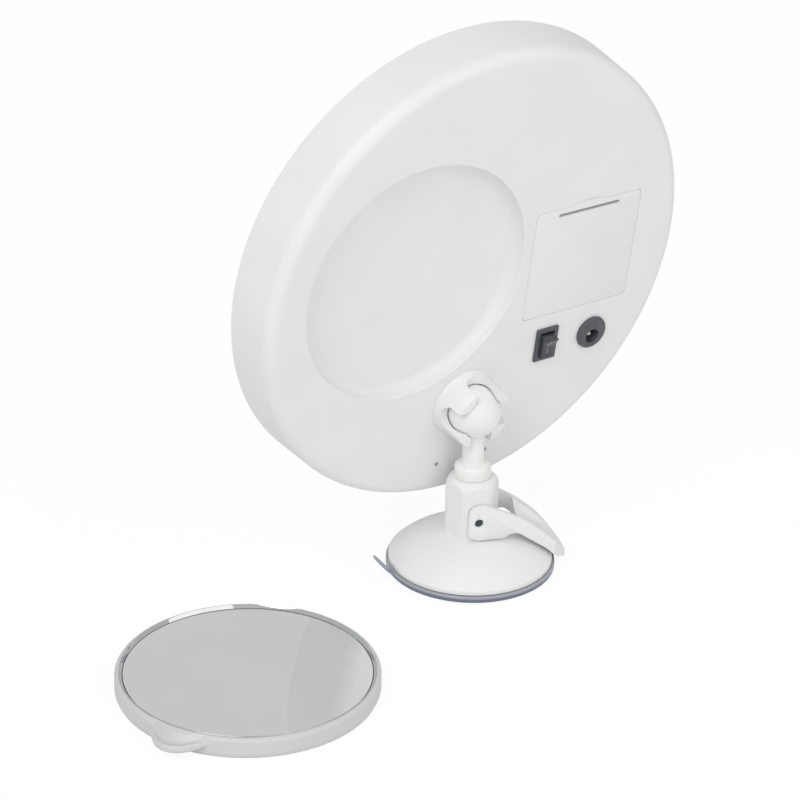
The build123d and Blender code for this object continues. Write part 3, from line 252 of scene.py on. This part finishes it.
def arc_between(start, end, rise, count):
    """Points on a circular arc from start to end that bulges by rise to the left of the way there."""
    start, end = np.asarray(start, float), np.asarray(end, float)
    half = np.hypot(*(end - start)) / 2
    radius = (half ** 2 + rise ** 2) / (2 * rise)
    way = (end - start) / (2 * half)
    swing = np.linspace(-np.arcsin(half / radius), np.arcsin(half / radius), count)[:, None]
    left = np.array([-way[1], way[0]])
    return (start + end) / 2 + way * radius * np.sin(swing) + left * (rise - radius * (1 - np.cos(swing)))


def settle(piece):
    """Makes the result of a piece's modifiers its mesh."""
    piece.data = bpy.data.meshes.new_from_object(piece.evaluated_get(bpy.context.evaluated_depsgraph_get()))
    piece.modifiers.clear()


def cut(piece, *cutters, operation="DIFFERENCE", sharp=35.0):
    """Takes closed cutters out of a closed piece (or joins them to it), and shades it again."""
    for cutter in cutters:
        step = piece.modifiers.new("cut", "BOOLEAN")
        step.operation, step.object, step.solver = operation, cutter, "EXACT"
        settle(piece)
        bpy.data.objects.remove(cutter)
    close_up(piece, sharp)


def slot_bar(name, centre, direction, radius, travel, reach):
    """A closed bar from -reach to reach along a level direction. Its section is a circle of radius whose upper half
    is lifted by travel and whose lower half is lowered by it."""
    turn = np.linspace(0, 2 * np.pi, 48, endpoint=False)[:, None]
    rim = np.cross(direction, (0, 0, 1)) * radius * np.cos(turn) + np.array([0, 0, 1]) * (
        radius * np.sin(turn) + travel * np.sign(np.round(np.sin(turn), 6)))
    stations = np.array([-reach, -reach, reach, reach])[:, None, None]
    return surface(name, np.asarray(centre) + direction * stations + rim * np.array([0, 1, 1, 0])[:, None, None])


abs_white = two_tone("spark_eroded_white_abs", 0.5, "e8e8e8", "eaeaea", 24.0, grain=(0.8, 0.012), IOR=1.53)
shell_turn, shell_radius, shell_foot, lip_top, shell_top = np.radians(158.0), 33.35, 2.9, 4.7, 15.8
column_top, column_flat, column_reach, shoulder_round, corner_blend = 40.2, 10.0, 11.15, 4.6, 2.1
dome_root, dome_rise, column_foot, fillet_out, fillet_drop = 11.0, 2.13, 0.4, 0.45, 0.42
cavity_radius, cavity_root, cavity_top, cavity_rise = 31.35, 11.0, 13.8, -1.95
rod_bore, stem_bore, bore_step, lead_in = 5.2, 4.1, 31.2, 0.4
around = np.linspace(0, 2 * np.pi, 384, endpoint=False)[None]
# The column's radius is the smaller of the hexagon's and a turned envelope's, which is a quarter circle of
# shoulder_round at the top and upright below. At its foot a small fillet runs out into the dome's arc, and the
# hexagon fades into a circle with the cube of the way down the dome.
shoulder = np.linspace(column_top, column_top - shoulder_round, 28)
shoulder_out = column_reach - shoulder_round + np.sqrt(
    np.clip(shoulder_round ** 2 - (shoulder - column_top + shoulder_round) ** 2, 0, None))
upright = np.linspace(column_top - shoulder_round - 0.5, shell_top + column_foot, 30)
envelope = np.concatenate([shoulder_out, np.full(30, column_reach)])
column_rows = softer(six_sided(around), envelope[:, None], 0.5)
column_rows[0] = envelope[0]
fillet = np.linspace(0, 1, 6)[1:, None]
foot_out = column_rows[-1:] + fillet_out * fillet ** 2
foot_up = shell_top + column_foot - fillet_drop * np.sin(fillet * np.pi / 2)
dome = arc_between((dome_root, shell_top), (shell_radius - 0.3, lip_top + 0.25), dome_rise, 34)
dome_out = dome[1:, :1] + (foot_out[-1:] - dome_root) * np.linspace(1, 0, 34)[1:, None] ** 3
lip = bend([dome[-1], (shell_radius, lip_top), (shell_radius, shell_foot), (cavity_radius, shell_foot),
            *arc_between((cavity_radius, shell_foot), (cavity_root, cavity_top), cavity_rise, 12)[1:],
            (rod_bore, cavity_top), (rod_bore, bore_step), (stem_bore, bore_step),
            (stem_bore, column_top - lead_in), (stem_bore + lead_in, column_top)], [0.35, 0.25])
shell_out = np.concatenate([column_rows, foot_out, dome_out, lip[1:, :1] + 0 * around, column_rows[:1]])
shell_up = np.vstack([shoulder[:, None], upright[:, None], foot_up, dome[1:, 1:], lip[1:, 1:], [[column_top]]])
shell = surface("base_shell_moulding", np.stack([shell_out * np.cos(around), shell_out * np.sin(around),
                                                 shell_up + 0 * around], axis=-1), sharp=40)
pin_up, pin_slot, pin_travel, past_column = 23.3, 1.85, 0.9, 14
across = np.array([np.sin(shell_turn), -np.cos(shell_turn), 0])
cut(shell, slot_bar("pin_slot_cutter", (0, 0, pin_up), across, pin_slot, pin_travel, past_column), sharp=50)
dress(shell, abs_white, "stand", "white_plastic", "base_shell")


# Clamp lever: white ABS fork with a dished thumb plate, moulded in one with soft round edges. Its two cheeks
# straddle the column on the cross pin, and their cam-shaped ends bear on the shell, so that pressing the plate down
# pulls the pad's middle up.
def rounded_copy(node, name, width, segments=3):
    """A copy of a CAD node with its points joined, its flat faces made whole and its edges rounded by width mm."""
    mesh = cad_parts[node].data.copy()
    mesh.name = name
    piece = bpy.data.objects.new(name, mesh)
    bpy.context.scene.collection.objects.link(piece)
    work = bmesh.new()
    work.from_mesh(mesh)
    bmesh.ops.remove_doubles(work, verts=work.verts, dist=3e-6)
    bmesh.ops.dissolve_limit(work, angle_limit=np.radians(0.6), verts=work.verts, edges=work.edges)
    work.to_mesh(mesh)
    work.free()
    bevel = piece.modifiers.new("moulded_edges", "BEVEL")
    bevel.width, bevel.segments, bevel.use_clamp_overlap = width * MM, segments, True
    bevel.limit_method, bevel.angle_limit = "ANGLE", np.radians(30)
    settle(piece)
    close_up(piece, 35)
    return piece


lever = rounded_copy("lever", "clamp_lever_moulding", 1.4, segments=5)
dress(lever, abs_white, "clamp_lever", "white_plastic", "lever")


# Lever pin: a steel dowel pressed through the pull rod, its ends sunk in the lever's cheeks. Its steel is drawn
# dark, painted shade for the shadow in the cheeks' holes, so the end that shows is a dull dark disc.
def refinish(material, *nodes):
    """Gives CAD nodes that stay as they are their material."""
    for node in nodes:
        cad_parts[node].data.materials.clear()
        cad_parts[node].data.materials.append(material)


# Painted shade: the pin's steel is drawn dark for the shadow in the cheeks' holes.
shade_dark_steel = two_tone("steel_with_painted_shade", 0.45, "3c4148", "4c5259", 0.6, grain=(0.4, 0.01), Metallic=0.6)
refinish(shade_dark_steel, "lever_pin")


# Ball stem: ball, stem, collar and the shaft that turns in the column, all one turned acetal (POM) part with a hole
# for the screw that holds it there. Acetal is slightly glossier than the shell.
acetal = two_tone("turned_white_acetal", 0.34, "ebebe9", "efefee", 18.0, grain=(0.5, 0.004), IOR=1.48)
ball_radius, ball_up, stem_radius, neck_flare = 10.75, 68.6, 4.4, 0.5
collar_radius, collar_foot, shaft_radius, shaft_foot, screw_radius, screw_top = 7.45, 40.3, 4.0, 31.2, 1.25, 37.2
neck_up = ball_up - np.sqrt(ball_radius ** 2 - (stem_radius + neck_flare) ** 2)
from_below = np.linspace(np.pi, np.arccos((ball_up - neck_up) / ball_radius), 60)
ball_rows = np.stack([ball_radius * np.sin(from_below), ball_up - ball_radius * np.cos(from_below)], axis=1)
# Down from the ball: the neck, the collar's curved top, its side and face, and the shaft with the screw's hole.
stem_rows = bend([(stem_radius + neck_flare, neck_up), (stem_radius, neck_up - 1.6), (stem_radius, 47.2),
                  (4.7, 46.35), (6.35, 45.9), (collar_radius, 44.5), (collar_radius, collar_foot),
                  (6.4, collar_foot - 0.05), (shaft_radius, collar_foot - 0.05), (shaft_radius, shaft_foot),
                  (screw_radius, shaft_foot), (screw_radius, screw_top), (0, screw_top)],
                 [0.8, 0.5, 0.3, 1.6, 1.6, 0.1])
stem = surface("ball_stem_turning", turned(np.vstack([ball_rows, stem_rows[1:]])), sharp=50)
dress(stem, acetal, "stem", "stem_plastic", "ball_stem")


# Pull rod, washer and screws: the rod is milky natural acetal, hidden in the column, and its foot snaps into the
# pad's boss. The screws and the washer are bought ones, whose zinc plating is a pale satin metal.
natural_acetal = two_tone("natural_acetal", 0.4, "dcdcd6", "e4e3de", 6.0, IOR=1.48)
refinish(natural_acetal, "pull_rod")
zinc_steel = two_tone("zinc_plated_steel", 0.32, "9ba0a3", "b9bcbd", 0.8, grain=(0.5, 0.01), Metallic=1.0)
refinish(zinc_steel, "stem_washer", "stem_screw", "socket_screws", "cover_screws")


# Rear cover: the head's deep round back in the same white ABS as the shell, 2.2 mm thick. The storage dish is sunk
# in it off centre, and it is open for the battery lid, the switch, the jack and the ball socket.
lean, ball_below, ball_behind = np.radians(9.0), 56.7, 7.3
east = np.array([1, 0, 0])
head_up = np.array([0, np.sin(lean), np.cos(lean)])
head_front = np.array([0, -np.cos(lean), np.sin(lean)])
ball_place = np.array([0, 0, ball_up])
head_origin = ball_place + head_up * ball_below + head_front * ball_behind


def on_head(points):
    """Points (x, y, depth) measured from the middle of the head's back face: x * east + y * head_up + depth *
    head_front."""
    return head_origin + points[..., :1] * east + points[..., 1:2] * head_up + points[..., 2:] * head_front


def rounded_plan(centre, width, height, corner):
    """The outline of a rectangle with round corners, as (x, y) points that run anticlockwise."""
    angle = np.linspace(0, np.pi / 2, 8)
    quarter = np.stack([np.cos(angle), np.sin(angle)], axis=1) * corner
    half = np.array([width / 2 - corner, height / 2 - corner])
    corners = [quarter * (1, 1) + half, quarter[::-1] * (-1, 1) + half * (-1, 1), -quarter - half,
               quarter[::-1] * (1, -1) + half * (1, -1)]
    return np.asarray(centre) + np.vstack(corners)


def disc_plan(centre, radius, count=64, squeeze=1.0):
    """The outline of a circle as (x, y) points, or of an oval whose height is squeeze times its width."""
    angle = np.linspace(0, 2 * np.pi, count, endpoint=False)[:, None]
    return np.asarray(centre) + radius * np.hstack([np.cos(angle), squeeze * np.sin(angle)])


def slab(name, outline, start, end):
    """A closed plate on the head: an outline of (x, y) points carried from one depth to another."""
    middle = outline.mean(axis=0, keepdims=True) + 0 * outline
    rings = np.stack([middle, outline, outline, middle])
    depths = np.array([start, start, end, end])[:, None, None] + 0 * rings[..., :1]
    return surface(name, on_head(np.concatenate([rings, depths], axis=-1)))


# The cover's section is drawn once around the head's centre and carried round. The dish's part of it is shifted by
# the dish's centre, the side's isn't, and the flat plate between them takes up the difference in thirds.
head_radius, back_radius, head_deep, wall = 100.0, 98.4, 24.4, 2.2
dish_centre, dish_radius, dish_deep = np.array([31.0, 6.2]), 51.0, 6.0
plate_start, plate_end = 52.5, 88.0
dish_rows = bend([(0, dish_deep), (dish_radius, dish_deep), (dish_radius, 0), (plate_start, 0)], [4.2, 0.5], 12)
side_rows = bend([(plate_end, 0), (back_radius, 0), (head_radius, head_deep), (head_radius - wall, head_deep),
                  (back_radius - wall, wall), (plate_end, wall)], [5.0, 0.7, 0.4, 2.8], 12)
inside_rows = bend([(plate_start + 2, wall), (dish_radius + wall, wall), (dish_radius + wall, dish_deep + wall),
                    (0, dish_deep + wall)], [0.3, 1.5])
thirds = np.array([[2 / 3], [1 / 3]])
plate_out = plate_start * thirds + plate_end * (1 - thirds)
cover_section = np.vstack([dish_rows, np.hstack([plate_out, 0 * thirds]), side_rows,
                           np.hstack([plate_out[::-1], wall + 0 * thirds]), inside_rows])
shift = np.vstack([np.ones((len(dish_rows), 1)), thirds, np.zeros((len(side_rows), 1)), thirds[::-1],
                   np.ones((len(inside_rows), 1))])
cover_rows = turned(cover_section, 360) + np.pad(dish_centre * shift, ((0, 0), (0, 1)))[:, None]
cover = surface("rear_cover_moulding", on_head(cover_rows), sharp=30)
# The lid lies flush in a pocket with a ledge behind it. Above it are the thumb bump's pocket, a low oval, and the
# finger scoop, a shallow cap of a ball of scoop_round.
lid_middle, lid_wide, lid_high, lid_corner, seam, ledge = (-50.3, -0.7), 52.2, 49.0, 2.2, 0.16, 1.5
bump_half, bump_high, scoop_up, scoop_round, scoop_deep = 7.65, 1.0, 20.8, 24.4, 0.8
bump_plan = disc_plan((lid_middle[0], lid_middle[1] + lid_high / 2), bump_half + seam,
                      squeeze=(bump_high + seam) / (bump_half + seam))
scoop_turn = np.linspace(0, 2 * np.pi, 96, endpoint=False)[None]
scoop_drop = np.concatenate([np.linspace(0, 0.4, 40), np.linspace(0.5, np.pi, 16)])[:, None]
scoop = on_head(np.stack([lid_middle[0] + scoop_round * np.sin(scoop_drop) * np.cos(scoop_turn),
                          lid_middle[1] + scoop_up + scoop_round * np.sin(scoop_drop) * np.sin(scoop_turn),
                          scoop_deep - scoop_round + scoop_round * np.cos(scoop_drop) + 0 * scoop_turn], axis=-1))
pocket_plan = rounded_plan(lid_middle, lid_wide + 2 * seam, lid_high + 2 * seam, lid_corner)
switch_plan = rounded_plan((-38.1, -39.0), 8.6, 13.4, 0.3)
jack_plan, socket_plan = disc_plan((-61.5, -39.7), 5.7), disc_plan((0, -ball_below), 14.3)
left_screw_plan, right_screw_plan = disc_plan((-14.5, -84.2), 0.98, 32), disc_plan((9.7, -84.2), 0.98, 32)
cut(cover, slab("lid_ledge", rounded_plan(lid_middle, lid_wide + 3.2, lid_high + 3.2, lid_corner), 2.0, 3.7),
    operation="UNION", sharp=30)
clear, pocket, through = -1, 1.95, 5
cut(cover, slab("lid_pocket", pocket_plan, clear, pocket), slab("bump_pocket", bump_plan, clear, pocket),
    slab("battery_opening", rounded_plan(lid_middle, lid_wide - 2 * ledge, lid_high - 2 * ledge, lid_corner), clear,
         through), surface("thumb_scoop", scoop),
    slab("switch_opening", switch_plan, clear, through), slab("jack_opening", jack_plan, clear, through),
    slab("socket_opening", socket_plan, clear, through), slab("left_screw_hole", left_screw_plan, clear, through),
    slab("right_screw_hole", right_screw_plan, clear, through), sharp=30)
dress(cover, abs_white, "head", "white_plastic", "rear_cover")


# Battery lid: a flush white ABS plate with a slot near its top edge, so that the strip above the slot springs when
# the thumb bump is pressed, and two tabs under the cover at its foot.
slot_up, slot_long, slot_wide, slot_corner = 21.45, 30.6, 1.35, 0.66
lid = rounded_copy("battery_lid", "battery_lid_moulding", 0.12, segments=2)
cut(lid, slab("lid_slot", rounded_plan((lid_middle[0], lid_middle[1] + slot_up), slot_long, slot_wide, slot_corner),
              clear, 3))
dress(lid, abs_white, "lid", "white_plastic", "battery_lid")


# Ball socket: white acetal cup with four claws between U-shaped slots, seated on the cover through its hole and
# screwed from inside. Its foot flares out in one smooth sweep to cover the hole's edge.
def at_ball(points):
    """Points (x, y, out) around the ball: x east, y along head_up, out away from the head's back."""
    return ball_place + points[..., :1] * east + points[..., 1:2] * head_up - points[..., 2:] * head_front


seat, claw_top, cup_radius, cup_back, foot_radius, foot_back = 11.15, 6.4, 14.0, -13.1, 14.6, -7.25
waist, sweep_start, sweep_long = 13.85, -7.1, 3.4
slot_round, slot_middle_out, slot_open, past_cup = 5.2, 1.1, 9.0, 18
sweep = np.linspace(0, 1, 14)
seat_rise = np.linspace(np.arcsin((claw_top - 0.2) / seat), -np.pi / 2, 40)
cup = np.vstack([[(0, cup_back), (cup_radius, cup_back), (cup_radius, foot_back), (foot_radius, foot_back)],
                 np.stack([waist + (foot_radius - waist) * (1 - sweep) ** 2.4,
                           sweep_start + sweep_long * sweep ** 1.5], axis=1),
                 [(13.6, 0.5), (13.35, claw_top - 0.5), (13.2, claw_top - 0.15), (12.9, claw_top),
                  (9.35, claw_top)], seat * np.stack([np.cos(seat_rise), np.sin(seat_rise)], axis=1)])
socket = surface("claw_socket_moulding", at_ball(turned(cup, 360)), sharp=30)
# Each pair of slots is one U-shaped bar's: half a circle of slot_round with upright sides, carried across the cup.
slot_turn = np.linspace(np.pi, 2 * np.pi, 64)
slot_plan = np.vstack([np.stack([slot_round * np.cos(slot_turn), slot_middle_out + slot_round * np.sin(slot_turn)],
                                axis=1), [(slot_round, slot_open), (-slot_round, slot_open)]])
slot_middle = slot_plan.mean(axis=0) + 0 * slot_plan
for name, aside, along in (("upright_slots", 0, 1), ("level_slots", 1, 0)):
    rings = np.zeros((4, len(slot_plan), 3))
    rings[..., [aside, 2]] = np.stack([slot_middle, slot_plan, slot_plan, slot_middle])
    rings[..., along] = np.array([-past_cup, -past_cup, past_cup, past_cup])[:, None]
    cut(socket, surface(name, at_ball(rings)), sharp=30)
dress(socket, acetal, "head", "white_plastic", "ball_socket")


# Rocker switch: a bought snap-in part in black nylon, its bezel satin and its rocker polished, with a ring for off
# and a bar for on printed in grey ink.
black_nylon = two_tone("moulded_black_nylon", 0.42, "4b4d53", "54565c", 5.0, grain=(0.5, 0.008), IOR=1.53)
dark_nylon = two_tone("polished_black_nylon", 0.25, "3a3c42", "42444a", 5.0, IOR=1.53)
grey_ink = two_tone("printed_grey_ink", 0.5, "b9bbbe", "c1c3c6", 1.0)
housing = rounded_copy("switch_housing", "switch_housing_moulding", 0.25)
dress(housing, black_nylon, "head", "dark_plastic", "switch_housing")
rocker = rounded_copy("switch_rocker", "switch_rocker_moulding", 0.3)
dress(rocker, dark_nylon, "rocker", "dark_plastic", "switch_rocker")


def printed(name, inner, outer):
    """A mark printed on the rocker: the flat band between two outlines, started in front of the rocker, laid on its
    face and given an ink's thickness, drawn 0.04 mm so that it shows."""
    before_rocker, above_face, ink_thick = -4.9, 0.07, 0.04
    band = np.stack([inner, outer])
    mark = surface(name, on_head(np.concatenate([band, before_rocker + 0 * band[..., :1]], axis=-1)))
    laid = mark.modifiers.new("laid", "SHRINKWRAP")
    laid.target, laid.offset = rocker, above_face * MM
    thick = mark.modifiers.new("thick", "SOLIDIFY")
    thick.thickness, thick.offset = ink_thick * MM, 0
    settle(mark)
    close_up(mark, 35)
    dress(mark, grey_ink, "rocker", "dark_plastic")


off_place, on_place = (-37.2, -37.5), (-37.65, -41.6)
printed("off_mark_ring", disc_plan(off_place, 0.75, 40), disc_plan(off_place, 1.02, 40))
printed("on_mark_bar", rounded_plan(on_place, 0.06, 1.5, 0.03), rounded_plan(on_place, 0.3, 1.7, 0.13))


# Power jack: a bought round jack, its body in the switch's satin black nylon, held by a nut inside. Its centre pin
# and the other contacts are nickel-plated brass, a warm pale metal.
jack = rounded_copy("jack_body", "power_jack_moulding", 0.25)
dress(jack, black_nylon, "head", "dark_plastic", "jack_body")
nickel = two_tone("nickel_plated_brass", 0.22, "c4bfb4", "d6d2c9", 0.8, Metallic=1.0)
refinish(nickel, "jack_pin", "jack_nut", "switch_terminals", "battery_contacts")


# Inside the head and the spot mirror: ABS mouldings left their natural ivory, the light ring's board with white
# solder mask, its LEDs yellow with phosphor, grey foam behind the glass, and magnets with a bright nickel plating.
inner_abs = two_tone("natural_white_abs", 0.45, "dfdfda", "e6e6e2", 12.0, grain=(0.9, 0.015), IOR=1.53)
refinish(inner_abs, "battery_tray", "socket_retainer", "front_carrier", "spot_backing")
solder_mask = two_tone("white_solder_mask", 0.35, "e4e6e2", "ecedea", 4.0, IOR=1.55)
refinish(solder_mask, "led_board")
phosphor = two_tone("yellow_phosphor_led", 0.3, "e9dc8a", "f0e6a4", 0.8, IOR=1.5)
refinish(phosphor, "leds")
foam = two_tone("grey_eva_foam", 0.95, "77797c", "8d8f92", 1.2, grain=(0.8, 0.15))
refinish(foam, "mirror_foam")
plated_magnet = two_tone("nickel_plated_magnet", 0.25, "b5b8ba", "c6c8ca", 2.0, Metallic=1.0)
refinish(plated_magnet, "spot_magnets", "dish_magnets")


# Front: a ring of opal acrylic that spreads the LEDs' light and looks milky unlit, held by a bezel in the cover's
# white ABS, around the main mirror: flat glass silvered on its back, which mirrors the room clean and neutral.
opal = two_tone("opal_acrylic", 0.38, "ecedef", "f2f2f3", 9.0, IOR=1.49, Subsurface_Weight=0.25,
                Subsurface_Scale=0.0015)
refinish(opal, "light_diffuser")
refinish(abs_white, "front_bezel")
silvered = two_tone("silvered_glass", 0.015, "ececed", "eeeeef", 40.0, Metallic=1.0)
refinish(silvered, "main_mirror")


# Spot mirror frame: the loose mirror's shallow cup in white ABS, with a thumb tab whose dished top flows up into
# the rim. Its colour is drawn greyer than the rest's white ABS: painted shade, for the darker light on the frame.
def eased(share):
    """A share from 0 to 1 with level ends: s * s * (3 - 2 * s)."""
    share = np.clip(share, 0, 1)
    return share * share * (3 - 2 * share)


# Painted shade: the frame's white ABS is drawn greyer because the frame lies in darker light.
painted_shade_abs = two_tone("white_abs_painted_grey_shade", 0.42, "cfcdce", "d1cfd0", 24.0, grain=(0.8, 0.01), IOR=1.53)
spot, frame_out, frame_in, frame_top, frame_floor = (128.4, 32.6), 50.4, 48.65, 8.2, 1.6
tab_at, tab_seat, tab_round, tab_side = np.radians(26.0), 49.5, 9.6, 20
fillet_reach, fillet_far, fillet_long = 2.2, 19.5, 12
turn = tab_at + np.linspace(-np.pi, np.pi, 720, endpoint=False)
aside = np.abs(turn - tab_at) * frame_out
# How far the tab reaches past the rim: a circle of tab_round centred tab_seat out, with fillets to both sides that
# fall off as the square of the way along the rim, all smoothed by three running means.
sideways = tab_seat * np.sin(turn - tab_at)
circle_out = tab_seat * np.cos(turn - tab_at) + np.sqrt(np.clip(tab_round ** 2 - sideways ** 2, 0, None))
tab_reach = np.where((aside < tab_side) & (np.abs(sideways) < tab_round), circle_out - frame_out, 0)
tab_reach = np.maximum(tab_reach, fillet_reach * np.clip((fillet_far - aside) / fillet_long, 0, 1) ** 2)
for _ in range(3):
    wrapped = np.concatenate([tab_reach[-5:], tab_reach, tab_reach[:5]])
    tab_reach = np.convolve(wrapped, np.ones(11) / 11, mode="valid")
tabbed = eased(tab_reach / 2.5)
# The top goes over the rim's quarter round where there is no tab. On the tab it drops in an eased step and then in
# a dish, deepest on the tab's middle line. The edge is a half round, and the underside rises to the cup's wall.
step_drop, dish_drop, tab_low, lip_rise, thinnest = 2.1, 1.3, 3.1, 3.0, 1.0
over, edge = np.linspace(0, 1, 26)[:, None], np.linspace(0, np.pi, 14)[1:, None]
under = np.linspace(0, 1, 8)[1:, None]
rim_turn = np.clip(over / 0.75, 0, 1) * np.pi / 2
rim_up = frame_top - 1.5 * (1 - np.cos(rim_turn)) - 0.9 * np.clip((over - 0.75) / 0.25, 0, 1)
rim_out = frame_in + (frame_out - frame_in) * np.sin(rim_turn)
thumb_dish = np.sin(np.pi * np.clip((over - 0.25) / 0.75, 0, 1)) ** 1.3 * np.clip(1 - (aside / 8.5) ** 2, 0, 1)
tab_up = frame_top - step_drop * eased(over / 0.6) - dish_drop * thumb_dish
tab_out = frame_in + (tab_reach + 0.75) * over
top_out = rim_out * (1 - tabbed) + tab_out * tabbed
top_up = rim_up * (1 - tabbed) + tab_up * tabbed
lip_low = np.minimum(tab_low + lip_rise * eased((aside - 8) / 9), top_up[-1:] - thinnest)
edge_out = top_out[-1:] + np.sin(edge) * tabbed
edge_up = (top_up[-1:] + lip_low) / 2 + (top_up[-1:] - lip_low) / 2 * np.cos(edge)
inward, sinking = np.clip(under / 0.7, 0, 1), eased((under - 0.6) / 0.4)
under_out = edge_out[-1:] * (1 - inward) + inward * frame_out
under_up = lip_low * (1 - sinking) + frame_floor * sinking
inner = bend([(0, frame_floor), (frame_in, frame_floor), (frame_in, frame_top)], [0.3], 5)[:-1]
base = bend([(frame_out, frame_floor), (frame_out - 0.7, 0), (0, 0)], [0.4], 5)[1:]
rows_out = np.concatenate([inner[:, :1] + 0 * turn, top_out, edge_out, under_out, base[:, :1] + 0 * turn])
rows_up = np.concatenate([inner[:, 1:] + 0 * turn, top_up, edge_up, under_up, base[:, 1:] + 0 * turn])
spot_cup = surface("spot_mirror_frame", np.stack([spot[0] + rows_out * np.cos(turn),
                                                  spot[1] + rows_out * np.sin(turn), rows_up], axis=-1), sharp=50)
dress(spot_cup, painted_shade_abs, "spot_mirror", "white_plastic", "spot_frame")


# Spot mirror glass: a concave glass 2 mm thick that magnifies, slumped to a shallow cap of a ball and silvered as
# the main mirror is. It lies on the backing in the cup.
glass_out, glass_rim, sag, glass_thick = 47.2, 7.15, 2.1, 2.0
bow = (glass_out ** 2 + sag ** 2) / (2 * sag)
across_glass = np.linspace(0, glass_out, 48)
dip = glass_rim - sag + bow - np.sqrt(bow ** 2 - across_glass ** 2)
glass_profile = np.vstack([np.stack([across_glass, dip], axis=1),
                           np.stack([across_glass, dip - glass_thick], axis=1)[::-1]])
glass = surface("concave_mirror_glass", turned(glass_profile, 256, spot), sharp=40)
dress(glass, silvered, "spot_mirror", "mirror_glass", "spot_glass")


# Trim ring: chromium-plated ABS, pressed in between the glass and the frame. Its top slopes down to the glass, and
# the plating mirrors the room in one thin bright line.
chrome = two_tone("chromium_plated_abs", 0.04, "c9cbcd", "d3d5d7", 30.0, Metallic=1.0)
ring_in, ring_out, ring_foot, ring_top = 47.45, 48.6, 5.6, 8.6
ring_profile = bend([(ring_in, ring_foot), (ring_out, ring_foot), (ring_out, ring_top), (ring_out - 0.3, ring_top),
                     (ring_in, ring_top - 1.4), (ring_in, ring_foot)], [0, 0.15, 0.15, 0.3], 5)
ring = surface("chrome_trim_ring", turned(ring_profile, 256, spot), sharp=50)
dress(ring, chrome, "spot_mirror", "chrome_trim", "spot_trim_ring")


# Studio: a pale floor under soft, even light, brightest from the camera's upper left. The floor and the world are
# plain white for the camera and a little greyer in reflections, and the floor keeps the object's soft shadow.
def white_for_camera(tree, given, output, share, strength, mirrored):
    """Mixes share of white glow into what the camera, glossy and transmission rays see, and none elsewhere; glossy
    rays see it at the mirrored strength."""
    rays = add(tree, "ShaderNodeLightPath").outputs
    seen = add(tree, "ShaderNodeMath", [(0, rays["Is Camera Ray"]), (1, rays["Is Glossy Ray"])],
               operation="MAXIMUM")
    seen = add(tree, "ShaderNodeMath", [(0, seen.outputs[0]), (1, rays["Is Transmission Ray"])],
               operation="MAXIMUM")
    part = add(tree, "ShaderNodeMath", [(0, seen.outputs[0]), (1, share)], operation="MULTIPLY")
    level = add(tree, "ShaderNodeMapRange", [("Value", rays["Is Glossy Ray"]), ("To Min", strength),
                                             ("To Max", mirrored)])
    glow = add(tree, "ShaderNodeEmission" if output.type == "OUTPUT_MATERIAL" else "ShaderNodeBackground",
               [("Color", (1, 1, 1, 1)), ("Strength", level.outputs[0])])
    mixed = add(tree, "ShaderNodeMixShader", [(0, part.outputs[0]), (1, given), (2, glow.outputs[0])])
    tree.links.new(mixed.outputs[0], output.inputs["Surface"])


world = bpy.data.worlds.new("white_studio")
bpy.context.scene.world = world
world.use_nodes = True
sky = world.node_tree
sky_light = sky.nodes["Background"]
sky_light.inputs["Color"].default_value, sky_light.inputs["Strength"].default_value = linear("fbfbfc"), 0.62
white_for_camera(sky, sky_light.outputs[0], sky.nodes["World Output"], share=1.0, strength=1.0, mirrored=0.66)

# The floor is matt painted board, far wider than the view, and lies just below the object's lowest point.
floor_half, floor_drop, floor_lines = 9000, -0.25, 21
line = np.linspace(-floor_half, floor_half, floor_lines)
floor_grid = np.stack([*np.meshgrid(line, line), np.full((floor_lines, floor_lines), floor_drop)], axis=-1)
floor = surface("studio_floor", floor_grid, closed=False)
board = two_tone("painted_white_board", 0.9, "f4f4f3", "f6f6f5", 60.0, Specular_IOR_Level=0.1)
white_for_camera(board.node_tree, board.node_tree.nodes["Principled BSDF"].outputs[0],
                 board.node_tree.nodes["Material Output"], share=0.9, strength=1.02, mirrored=0.75)
floor.data.materials.append(board)

# Each softbox: its metres to the right, away from the camera and up from the point it aims at, its width and watts.
aim = Vector((0, 0, 0.1))
for name, side, forward, lift, size, power in (("key_softbox", -0.9, -1.6, 1.9, 1.6, 23.5),
                                               ("fill_softbox", 1.3, -1.3, 0.8, 2.2, 8.8)):
    lamp = bpy.data.lights.new(name, "AREA")
    lamp.shape, lamp.size, lamp.energy = "DISK", size, power
    light = bpy.data.objects.new(name, lamp)
    bpy.context.scene.collection.objects.link(light)
    light.location = aim + flat_right * side + flat_ahead * forward + Vector((0, 0, lift))
    light.rotation_euler = (aim - light.location).to_track_quat("-Z", "Y").to_euler()
